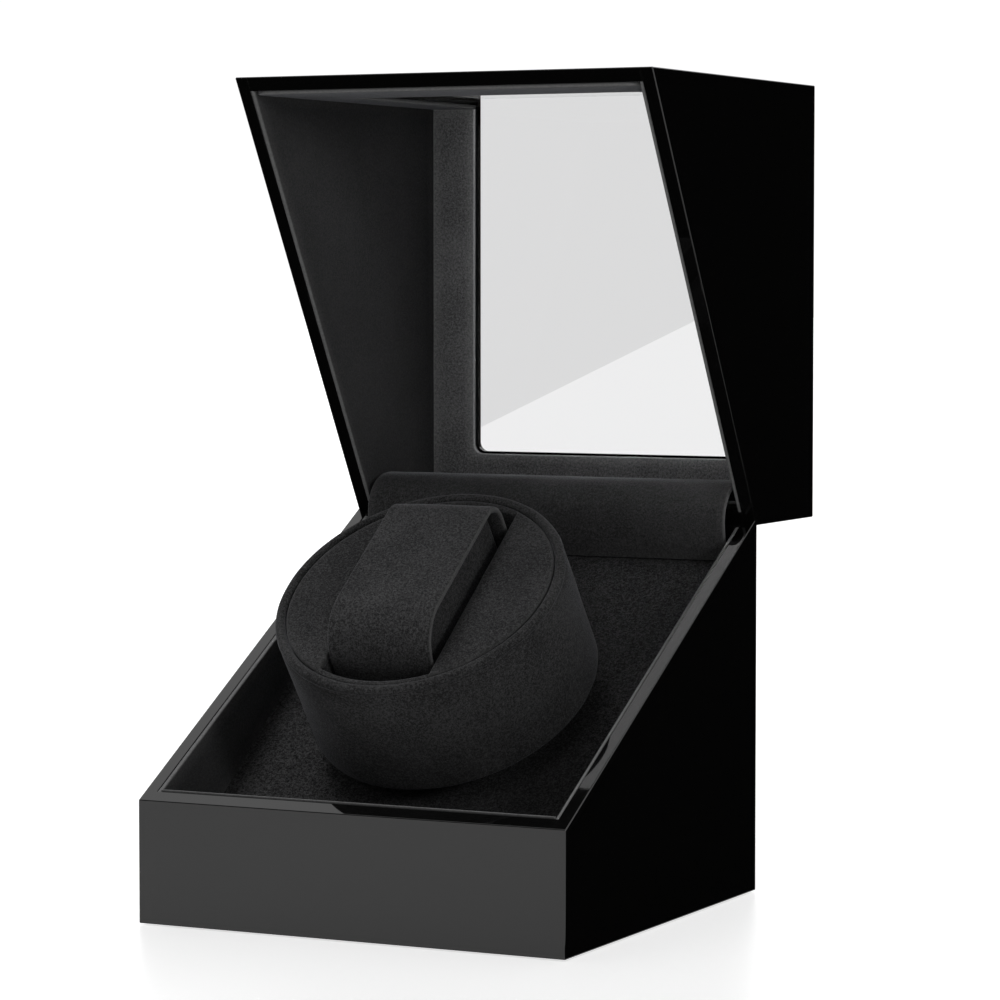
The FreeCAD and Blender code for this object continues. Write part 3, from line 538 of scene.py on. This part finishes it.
def clothPanel(name, place, width, length, look, seed, skip=None):
    thick, roll, spacing = look["thick"], look["roll"], look["spacing"]
    us = stops(width, roll, spacing)
    vs = stops(length, roll, spacing)
    nu, nv = len(us), len(vs)
    points, rubbedAndHighlight = [], []
    for layer in (1, 0):
        for v in vs:
            for u in us:
                height = 0.0
                near = min(u, width - u, v, length - v)
                # edge mask along the rolled edges: rubbed nap and a painted highlight
                rubbedAndHighlight.append(max(0.0, 1 - near / (roll * 1.2)))
                if layer:
                    height = thick - roundOff(near, roll)
                    height += look["wave"] * ripple(u, v, rippleSize, seed) * min(1.0, near / rippleEdge)
                points.append(place(u, v, height))
    kept = {(i, j) for i in range(nu - 1) for j in range(nv - 1)
            if not (skip and skip((us[i] + us[i + 1]) / 2, (vs[j] + vs[j + 1]) / 2))}
    under = nu * nv
    faces = []
    for i, j in kept:
        a, b = j * nu + i, j * nu + i + 1
        c, d = a + nu + 1, a + nu
        faces.append((a, b, c, d))
        faces.append((under + d, under + c, under + b, under + a))
        sides = (((i, j - 1), a, b), ((i + 1, j), b, c), ((i, j + 1), c, d), ((i - 1, j), d, a))
        for beside, first, second in sides:
            if beside not in kept:
                faces.append((second, first, under + first, under + second))
    used = sorted({index for face in faces for index in face})
    order = {old: new for new, old in enumerate(used)}
    points = [points[index] for index in used]
    rubbedAndHighlight = [rubbedAndHighlight[index] for index in used]
    faces = [tuple(order[index] for index in face) for face in faces]
    return addObject(name, points, faces, rubbedAndHighlight)


def finishPiece(piece, finish, slotName, body, *nodes):
    piece.data.materials.append(finishes[finish])
    fixNormals(piece)
    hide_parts(*nodes)
    if body:
        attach(piece, body)


def fixNormals(piece):
    bm = bmesh.new()
    bm.from_mesh(piece.data)
    bmesh.ops.remove_doubles(bm, verts=bm.verts, dist=0.000002)
    bmesh.ops.recalc_face_normals(bm, faces=bm.faces)
    bm.to_mesh(piece.data)
    bm.free()


caseShape = {
    "slope": math.tan(math.radians(30)), "deckSlope": 0.75,
    "pivot": Vector(joints["lid_hinge"]["pos_m"]),
}
drumPlace = Vector(joints["drum_spin"]["pos_m"])
drumAxis = Vector(joints["drum_spin"]["axis"])
deckUp = Vector((0, drumAxis.z, -drumAxis.y))


def deckPoint(x, v, w):
    return drumPlace + Vector((x, 0, 0)) + deckUp * v + drumAxis * w


def deckHeight(y):
    return drumPlace.z + (y - drumPlace.y) * caseShape["deckSlope"]


def rimHeight(y):
    return caseShape["pivot"].z + (y - caseShape["pivot"].y) * caseShape["slope"]


def openedPoint(x, y, z):
    pivot = caseShape["pivot"]
    return Vector((x, pivot.y + z - pivot.z, pivot.z - y + pivot.y))


deckCloth = {"thick": 0.8 * mm, "roll": 0.35 * mm, "spacing": 2.2 * mm, "wave": 0.05 * mm, "hole": 8.2 * mm}


def makeDeckCloth():
    low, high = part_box("deck_suede")
    width = high.x - low.x
    start = (low.y - drumPlace.y) / deckUp.y
    length = (high.y - low.y) / deckUp.y
    thick = deckCloth["thick"]

    def place(u, v, height):
        return deckPoint(low.x + u, start + v, height - thick)

    def skip(u, v):
        return math.hypot(low.x + u, start + v) < deckCloth["hole"]

    piece = clothPanel("deckCloth", place, width, length, deckCloth, 1, skip)
    finishPiece(piece, "deckSuede", "deck_suede", "case", "deck_suede")


linerLook = {
    "thick": 1.2 * mm, "roll": 0.45 * mm, "spacing": 4 * mm, "wave": 0.04 * mm,
    # how far the base linings stop below the rim and the lid linings above it, and the height each is cut to
    "baseRimGap": 0.3 * mm, "lidRimGap": 0.45 * mm, "baseHeight": 0.020, "lidHeight": 0.080,
}


def linerPanel(name, node, body, place, width, length, seed, finish="linerVelvet"):
    piece = clothPanel(name, place, width, length, linerLook, seed)
    finishPiece(piece, finish, "liner_velvet", body, node)
    return piece


def makeSideLiners():
    for side, sign in (("left", -1), ("right", 1)):
        low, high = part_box("base_" + side + "_liner")
        face = low.x if sign < 0 else high.x
        length = high.y - low.y
        height = linerLook["baseHeight"]

        def place(u, v, up, face=face, sign=sign, low=low):
            y = low.y + u
            bottom, top = deckHeight(y), rimHeight(y) - linerLook["baseRimGap"]
            return Vector((face - sign * up, y, bottom + (top - bottom) * v / height))

        linerPanel("baseLiner" + side.capitalize(), "base_" + side + "_liner", "case", place, length, height,
                   2 + sign)

        low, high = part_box("lid_" + side + "_liner")
        face = low.x if sign < 0 else high.x
        pivot = caseShape["pivot"]
        shutTop = pivot.z + high.y - pivot.y
        shutFront = pivot.y - (high.z - pivot.z)
        shutBack = pivot.y - (low.z - pivot.z)
        depth = shutBack - shutFront
        height = linerLook["lidHeight"]

        def placeLid(u, v, up, face=face, sign=sign, shutTop=shutTop, shutFront=shutFront):
            y = shutFront + u
            bottom = rimHeight(y) + linerLook["lidRimGap"]
            return openedPoint(face - sign * up, y, bottom + (shutTop - bottom) * v / height)

        linerPanel("lidLiner" + side.capitalize(), "lid_" + side + "_liner", "lid", placeLid, depth, height,
                   6 + sign)


def makeFrontLiner():
    low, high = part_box("base_front_liner")
    bottom = deckHeight((low.y + high.y) / 2) + 0.1 * mm

    def place(u, v, up):
        return Vector((low.x + u, low.y + up, bottom + v))

    linerPanel("baseLinerFront", "base_front_liner", "case", place, high.x - low.x, high.z - bottom, 11)


def archPath(half, back, corner, steps):
    path = [Vector((-half, 0))]
    for k in range(steps + 1):
        angle = math.pi / 2 * k / steps
        path.append(Vector((-half + corner - corner * math.cos(angle),
                            back - corner + corner * math.sin(angle))))
    for k in range(steps + 1):
        angle = math.pi / 2 * k / steps
        path.append(Vector((half - corner + corner * math.sin(angle),
                            back - corner + corner * math.cos(angle))))
    path.append(Vector((half, 0)))
    return path


def alongPath(path, share):
    for (s0, p0), (s1, p1) in zip(path, path[1:]):
        if share <= s1 or (s1, p1) == path[-1]:
            return p0.lerp(p1, (share - s0) / (s1 - s0) if s1 > s0 else 0)


windowLiner = {"half": 49.3 * mm, "corner": 3.2 * mm, "turn": 0.06, "low": 75.2 * mm, "back": 50.8 * mm}


def makeArchLiner(name, node, depth, outerHalf, reach, place, seed, finish):
    half, corner, turn = windowLiner["half"], windowLiner["corner"], windowLiner["turn"]
    inner = archPath(half, reach, corner, 6)
    arms = (reach - corner) / (2 * reach + 2 * half)
    marks = [0.0] + [arms + turn * k / 6 for k in range(7)]
    marks += [1 - arms - turn * (6 - k) / 6 for k in range(7)] + [1.0]
    ends = ((-outerHalf, 0), (-outerHalf, depth), (outerHalf, depth), (outerHalf, 0))
    outer = [Vector(spot) for spot in ends]
    outerMarks = [0.0, arms + turn / 2, 1 - arms - turn / 2, 1.0]
    innerPath = list(zip(marks, inner))
    outerPath = list(zip(outerMarks, outer))
    width = 2 * reach + 2 * half
    band = outerHalf - half

    def spread(u, v, up):
        first = alongPath(innerPath, u / width)
        second = alongPath(outerPath, u / width)
        spot = first.lerp(second, v / band)
        return place(spot.x, spot.y, up)

    return linerPanel(name, node, "lid", spread, width, band, seed, finish)


def makeLidLiners():
    pivot = caseShape["pivot"]
    low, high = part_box("lid_front_liner")
    shutFront = pivot.y - (high.z - pivot.z)
    shutTop = pivot.z + high.y - pivot.y
    shutLow = rimHeight(shutFront + linerLook["thick"] / 2) + linerLook["lidRimGap"]
    frontHalf = high.x

    def placeFront(x, down, up):
        return openedPoint(x, shutFront + up, shutTop - down)

    makeArchLiner("lidLinerFront", "lid_front_liner", shutTop - shutLow, frontHalf,
                  shutTop - windowLiner["low"], placeFront, 21, "linerVelvet")

    low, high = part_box("lid_top_liner")
    shutFront = pivot.y - (high.z - pivot.z)
    shutBack = pivot.y - (low.z - pivot.z)
    shutTop = pivot.z + high.y - pivot.y

    def placeTop(x, back, up):
        return openedPoint(x, shutFront + back, shutTop - up)

    makeArchLiner("lidLinerTop", "lid_top_liner", shutBack - shutFront, high.x,
                  windowLiner["back"] - shutFront, placeTop, 22, "windowVelvetPaintedLight")

    low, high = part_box("lid_back_liner")

    def placeBack(u, v, up):
        return Vector((low.x + u, low.y + v, low.z + up))

    linerPanel("lidLinerBack", "lid_back_liner", "lid", placeBack, high.x - low.x, high.y - low.y, 23)


hingeCloth = {
    "thick": 1.2 * mm, "roll": 0.5 * mm, "spacing": 2.4 * mm, "wave": 0.12 * mm,
    "arcs": [((62.7, 103.6), (60.6, 110.2), (59.9, 117.0)), ((59.9, 117.0), (63.6, 124.4), (72.0, 127.9)),
             ((72.0, 127.9), (81.2, 126.9), (88.6, 121.6))],
    "foldStart": (0, 0.0600, 0.1110), "foldEnd": (0, 0.0740, 0.1290),
}


def arcPoints(first, middle, last, steps):
    a, b, c = (Vector(p) for p in (first, middle, last))
    d = 2 * (a.x * (b.y - c.y) + b.x * (c.y - a.y) + c.x * (a.y - b.y))
    aa, bb, cc = a.length_squared, b.length_squared, c.length_squared
    centre = Vector(((aa * (b.y - c.y) + bb * (c.y - a.y) + cc * (a.y - b.y)) / d,
                     (aa * (c.x - b.x) + bb * (a.x - c.x) + cc * (b.x - a.x)) / d))
    start, end = a - centre, c - centre
    sweep = start.angle_signed(end)
    turned = []
    for k in range(steps + 1):
        angle = -sweep * k / steps
        turned.append(centre + Vector((start.x * math.cos(angle) - start.y * math.sin(angle),
                                       start.x * math.sin(angle) + start.y * math.cos(angle))))
    return turned


def makeHingeCloth():
    low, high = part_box("hinge_cover")
    line = []
    for arc in hingeCloth["arcs"]:
        line += arcPoints(*arc, 14)[0 if not line else 1:]
    line = [point * mm for point in line]
    reach = [0.0]
    for p, q in zip(line, line[1:]):
        reach.append(reach[-1] + (q - p).length)
    path = list(zip(reach, line))
    length = reach[-1]

    def place(u, v, up):
        here = alongPath(path, v)
        ahead = alongPath(path, min(length, v + 0.4 * mm))
        behind = alongPath(path, max(0.0, v - 0.4 * mm))
        along = (ahead - behind).normalized()
        out = Vector((-along.y, along.x))
        spot = here + out * (up - hingeCloth["thick"])
        return Vector((low.x + u, spot.x, spot.y))

    piece = clothPanel("hingeCloth", place, high.x - low.x, length, hingeCloth, 31)
    finishPiece(piece, "coverVelvet", "cover_velvet", None, "hinge_cover")
    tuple(hingeCloth["foldStart"])
    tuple(hingeCloth["foldEnd"])
    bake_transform(piece)


makeDeckCloth()
makeSideLiners()
makeFrontLiner()
makeLidLiners()
makeHingeCloth()
print("linings and hinge cloth ready")


# rows of points joined into one skin, closed round each row, capped at the ends or joined end to end

def skin(name, rows, loop=False, rubbedAndHighlightRows=None):
    count = len(rows[0])
    points = [point for row in rows for point in row]
    rubbedAndHighlight = [value for row in rubbedAndHighlightRows for value in row] if rubbedAndHighlightRows else [0.0] * len(points)
    faces = []
    last = len(rows) if loop else len(rows) - 1
    for r in range(last):
        start, after = r * count, (r + 1) % len(rows) * count
        for k in range(count):
            m = (k + 1) % count
            faces.append((start + k, start + m, after + m, after + k))
    if not loop:
        for row, flip in ((0, True), (len(rows) - 1, False)):
            middle = sum(rows[row], Vector()) / count
            points.append(middle)
            rubbedAndHighlight.append(0.0)
            hub = len(points) - 1
            for k in range(count):
                pair = (row * count + k, row * count + (k + 1) % count)
                faces.append((hub, pair[1], pair[0]) if flip else (hub, pair[0], pair[1]))
    return addObject(name, points, faces, rubbedAndHighlight)


drumLook = {
    "radius": 45.0, "low": 9.0, "top": 49.2, "wall": 0.8, "welt": 1.6, "hem": 4.8, "segments": 224,
    "wobble": 0.10, "crease": 0.35, "seamTurn": math.radians(97), "seamDepth": 0.45, "seamWidth": 0.010,
    "slotHalf": 18.0, "slotEnd": 39.5, "slotFloor": 27.0, "lining": 1.2, "gap": 0.1,
    "faceDrop": 0.4, "faceThick": 2.3, "faceRoll": 1.0, "faceCrown": 0.25, "groove": 0.35, "faceSteps": 96,
    "faceShares": (0, 0.01, 0.03, 0.06, 0.1, 0.16, 0.24, 0.34, 0.45, 0.56, 0.67, 0.77, 0.85, 0.91, 0.95, 0.98,
                   0.993, 1),
}


def makeDrumWrap():
    look = drumLook
    r, low, top, welt = look["radius"], look["low"], look["top"], look["welt"]
    weltMiddle, weltHeight = r - welt, top - welt
    wallLow, wallHigh = low + 1.0, weltHeight - welt * 0.75
    profile = []
    for k in range(5):
        angle = math.pi / 2 * k / 4
        profile.append((r - 1.0 + math.sin(angle), low + 1.0 - math.cos(angle)))
    for k in range(1, 15):
        profile.append((r, wallLow + (wallHigh - wallLow) * k / 15))
    profile.append((r - 0.12, wallHigh))
    profile.append((r - look["crease"], wallHigh + 0.35))
    for k in range(17):
        angle = math.radians(-28 + 236 * k / 16)
        profile.append((weltMiddle + welt * math.cos(angle), weltHeight + welt * math.sin(angle)))
    inner = r - look["wall"]
    hem = inner - look["hem"]
    inside = [(weltMiddle - 0.6, weltHeight - 2.0), (inner - 0.05, weltHeight - 2.4), (inner, weltHeight - 4),
              (inner, low + 0.8 + 0.1), (hem, low + 0.7), (hem, low + 0.05)]
    profile += inside
    turns = [2 * math.pi * k / look["segments"] for k in range(look["segments"])]
    seamTurns = [look["seamTurn"] + d * look["seamWidth"] for d in (-1, -0.6, -0.25, 0, 0.25, 0.6, 1)]
    turns = sorted(set(turns + seamTurns))
    rows = []
    for turn in turns:
        out = Vector((math.cos(turn), math.sin(turn)))
        row = []
        for index, (radius, height) in enumerate(profile):
            outside = index < len(profile) - len(inside)
            shift = 0.0
            if outside:
                shift = look["wobble"] * ripple(out.x * 45, out.y * 45 + height * 0.8, 11.0, 3)
                shift -= look["wobble"]
                seam = abs(turn - look["seamTurn"]) / look["seamWidth"]
                if seam < 1 and height < wallHigh:
                    shift -= look["seamDepth"] * (1 - seam) ** 1.5
            radius = radius + shift
            row.append(deckPoint(out.x * radius * mm, out.y * radius * mm, height * mm))
        rows.append(row)
    piece = skin("drumWrap", rows, loop=True)
    finishPiece(piece, "drumVelvet", "drum_velvet", "drum", "drum_sleeve")


def makeDrumFaces():
    look = drumLook
    outer = look["radius"] - 2 * look["welt"] - look["groove"]
    halfSlot, thick, roll = look["slotHalf"], look["faceThick"], look["faceRoll"]
    top = look["top"] - look["faceDrop"]
    reach = math.asin(math.sqrt(outer ** 2 - halfSlot ** 2) / outer)
    for side, sign in (("Left", -1), ("Right", 1)):
        rows, wornAndHighlight = [], []
        steps = look["faceSteps"]
        for k in range(steps + 1):
            t = -math.cos(math.pi * k / steps) * 0.997
            straight = Vector((halfSlot, outer * math.sin(reach) * t))
            curved = Vector((outer * math.cos(reach * t), outer * math.sin(reach * t)))
            upper, lower, edgeRubAndHighlight = [], [], []
            for share in look["faceShares"]:
                spot = straight.lerp(curved, share)
                near = min(spot.x - halfSlot, outer - spot.length)
                # edge mask along the face edges: rubbed nap and a painted highlight
                edgeRubAndHighlight.append(max(0.0, 1 - near / 0.8) * 0.6)
                height = top - roundOff(near, roll)
                crown = look["faceCrown"] * (1 - math.exp(-max(near, 0) / 5))
                height += crown + 0.05 * ripple(spot.x, spot.y, 9.0, sign)
                upper.append(deckPoint(sign * spot.x * mm, spot.y * mm, height * mm))
                lower.append(deckPoint(sign * spot.x * mm, spot.y * mm, (top - thick) * mm))
            rows.append(upper + lower[::-1])
            wornAndHighlight.append(edgeRubAndHighlight + [0.0] * len(lower))
        piece = skin("drumFace" + side, rows, rubbedAndHighlightRows=wornAndHighlight)
        finishPiece(piece, "drumVelvet", "drum_velvet", "drum", "drum_face_" + side.lower())


def slotOutline(halfSlot, end, steps):
    corner = math.sqrt(end ** 2 - halfSlot ** 2)
    start = math.asin(corner / end)
    spots = []
    for sign in (1, -1):
        for k in range(steps):
            spots.append(Vector((sign * halfSlot, sign * (-corner + 2 * corner * k / steps))))
        for k in range(steps):
            angle = start + (math.pi - 2 * start) * k / steps
            spots.append(Vector((sign * end * math.cos(angle), sign * end * math.sin(angle))))
    return spots


def makeSlotLining():
    look = drumLook
    steps = 26
    outerEnd = look["radius"] - 2 * look["welt"] - look["gap"]
    inside = slotOutline(look["slotHalf"], look["slotEnd"], steps)
    outside = slotOutline(look["slotHalf"] + look["lining"], outerEnd, steps)
    floor, under = look["slotFloor"], look["slotFloor"] - look["lining"]
    topSide = look["top"] - look["faceDrop"] - look["faceThick"] - look["gap"]
    topEnd = look["top"] - 0.8
    tops = [topSide if (k // steps) % 2 == 0 else topEnd for k in range(len(inside))]
    for k in (0, 2 * steps):
        tops[k] = topEnd

    def ring(share, heights):
        row = []
        for near, far, height in zip(inside, outside, heights):
            spot = near.lerp(far, share)
            row.append(deckPoint(spot.x * mm, spot.y * mm, height * mm))
        return row

    def shrunk(points, share, height):
        return [deckPoint(p.x * share * mm, p.y * share * mm, height * mm) for p in points]

    # how far across the lining's edge each ring of the rounded top lies, and how far below the top
    roundedTop = ((1, 0.5), (0.94, 0.18), (0.8, 0.03), (0.55, 0), (0.3, 0.04), (0.12, 0.22), (0.0, 0.7))
    rows = [shrunk(outside, 0.5, under), shrunk(outside, 0.96, under), ring(1, [under + 0.4] * len(tops))]
    rows += [ring(share, [top - drop for top in tops]) for share, drop in roundedTop]
    rows += [ring(0.0, [floor + 0.8] * len(tops)), shrunk(inside, 0.985, floor + 0.15)]
    rows += [shrunk(inside, 0.94, floor), shrunk(inside, 0.5, floor)]
    piece = skin("slotLining", rows)
    finishPiece(piece, "drumVelvet", "drum_velvet", "drum", "slot_trough")


pillowLook = {
    "half": 17.0, "front": -31.5, "back": 31.0, "low": 27.3, "high": 59.9, "radii": (10.0, 10.0, 7.5, 14.5),
    "band": 2.0, "edge": 0.85, "crown": 0.35,
    "coreHalf": 14.5, "coreBack": 1.6, "coreRoll": 1.4, "corePuff": 0.7,
}


def pillowOutline(inset, backInset=None):
    look = pillowLook
    backInset = inset if backInset is None else backInset
    y0, y1 = look["front"] + inset, look["back"] - backInset
    z0, z1 = look["low"] + inset, look["high"] - inset
    radii = [max(r - inset, 1.5) for r in look["radii"]]
    corners = [(y0, z0), (y1, z0), (y1, z1), (y0, z1)]
    inward = [(1, 1), (-1, 1), (-1, -1), (1, -1)]
    spots = []
    for index in range(4):
        (y, z), (sy, sz), r = corners[index], inward[index], radii[index]
        start = math.pi + math.pi / 2 * index
        for k in range(13):
            angle = start + math.pi / 2 * k / 12
            out = Vector((math.cos(angle), math.sin(angle)))
            spots.append((Vector((y + sy * r, z + sz * r)) + out * r, out))
        (y2, z2), (sy2, sz2), r2 = corners[(index + 1) % 4], inward[(index + 1) % 4], radii[(index + 1) % 4]
        first = spots[-1][0]
        angle = start + math.pi / 2
        out = Vector((math.cos(angle), math.sin(angle)))
        second = Vector((y2 + sy2 * r2, z2 + sz2 * r2)) + out * r2
        for k in range(1, 10):
            spots.append((first.lerp(second, k / 10), out))
    return spots


def makePillowBand():
    look = pillowLook
    half, thick, edge = look["half"], look["band"], look["edge"]
    section = []
    for k in range(7):
        angle = math.pi / 2 * k / 6
        section.append((half - edge + edge * math.sin(math.pi / 2 - angle), -edge + edge * math.sin(angle)))
    middle = [half * (1 - 2 * k / 14) for k in range(1, 14)]
    top = section + [(x, 0.0) for x in middle if abs(x) < half - edge]
    top += [(-x, depth) for x, depth in reversed(section)]
    bottom = [(-half + 0.25, -thick + 0.25), (-half + 0.7, -thick)]
    bottom += [(-half + 0.7 + (2 * half - 1.4) * k / 10, -thick) for k in range(1, 10)]
    bottom += [(half - 0.7, -thick), (half - 0.25, -thick + 0.25)]
    loop = top + bottom
    rows, wornAndHighlight = [], []
    for spot, out in pillowOutline(0):
        row = []
        # edge mask along the band edges: rubbed nap and a painted highlight
        wornAndHighlight.append([max(0.0, 1 - (half - abs(x)) / (edge * 0.5)) for x, depth in loop])
        for x, depth in loop:
            crown = look["crown"] * (1 - (x / half) ** 2) - look["crown"] if depth > -thick * 0.6 else 0.0
            wave = 0.06 * ripple(x, spot.x + spot.y * 1.7, 8.0, 5) if depth > -thick * 0.6 else 0.0
            place = spot + out * (depth + crown * 0.6 + wave - 0.06)
            row.append(deckPoint(x * mm, place.x * mm, place.y * mm))
        rows.append(row)
    piece = skin("pillowBand", rows, loop=True, rubbedAndHighlightRows=wornAndHighlight)
    finishPiece(piece, "pillowVelvet", "pillow_velvet", "pillow", "pillow_band")


def makePillowCore():
    look = pillowLook
    half, roll, puff = look["coreHalf"], look["coreRoll"], look["corePuff"]
    outline = pillowOutline(look["band"], look["band"] + look["coreBack"])
    middle = sum((spot for spot, out in outline), Vector((0, 0))) / len(outline)

    def ring(x, shrink, inset):
        row = []
        for spot, out in outline:
            place = middle + (spot - out * inset - middle) * shrink
            row.append(deckPoint(x * mm, place.x * mm, place.y * mm))
        return row

    right = []
    for k in range(5):
        shrink = 0.15 + 0.85 * k / 5
        right.append(ring(half - puff * (shrink ** 2) * 0.9, shrink, roll))
    for k in range(6):
        angle = math.pi / 2 * k / 5
        inset = roll * (1 - math.sin(angle)) + 0.02
        right.append(ring(half - puff - roll + roll * math.cos(angle), 1.0, inset))
    between = [ring(half * 0.6 - half * 0.3 * k, 1.0, 0.02) for k in range(5)]

    def mirrored(row):
        return [Vector((-point.x, point.y, point.z)) for point in row]

    rows = right + between + [mirrored(row) for row in reversed(right)]
    piece = skin("pillowCore", rows)
    finishPiece(piece, "pillowVelvet", "pillow_velvet", "pillow", "pillow_core")


feltLook = {"thick": 1.5 * mm, "roll": 0.5 * mm, "spacing": 5 * mm, "wave": 0.0, "corner": 3.0 * mm}


def makeBaseFelt():
    low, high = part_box("base_felt_pad")
    width, length = high.x - low.x, high.y - low.y
    r = feltLook["corner"]

    def place(u, v, up):
        x, y = u - width / 2, v - length / 2
        dx, dy = abs(x) - width / 2 + r, abs(y) - length / 2 + r
        if dx > 0 and dy > 0:
            far = max(dx, dy)
            pull = far / math.hypot(dx, dy)
            x = math.copysign(width / 2 - r + dx * pull, x)
            y = math.copysign(length / 2 - r + dy * pull, y)
        return Vector((x, y, high.z - up))

    piece = clothPanel("baseFelt", place, width, length, feltLook, 41)
    finishPiece(piece, "feltPad", "felt_pad", "case", "base_felt_pad")


makeDrumWrap()
makeDrumFaces()
makeSlotLining()
makePillowBand()
makePillowCore()
makeBaseFelt()
print("drum and pillow ready")
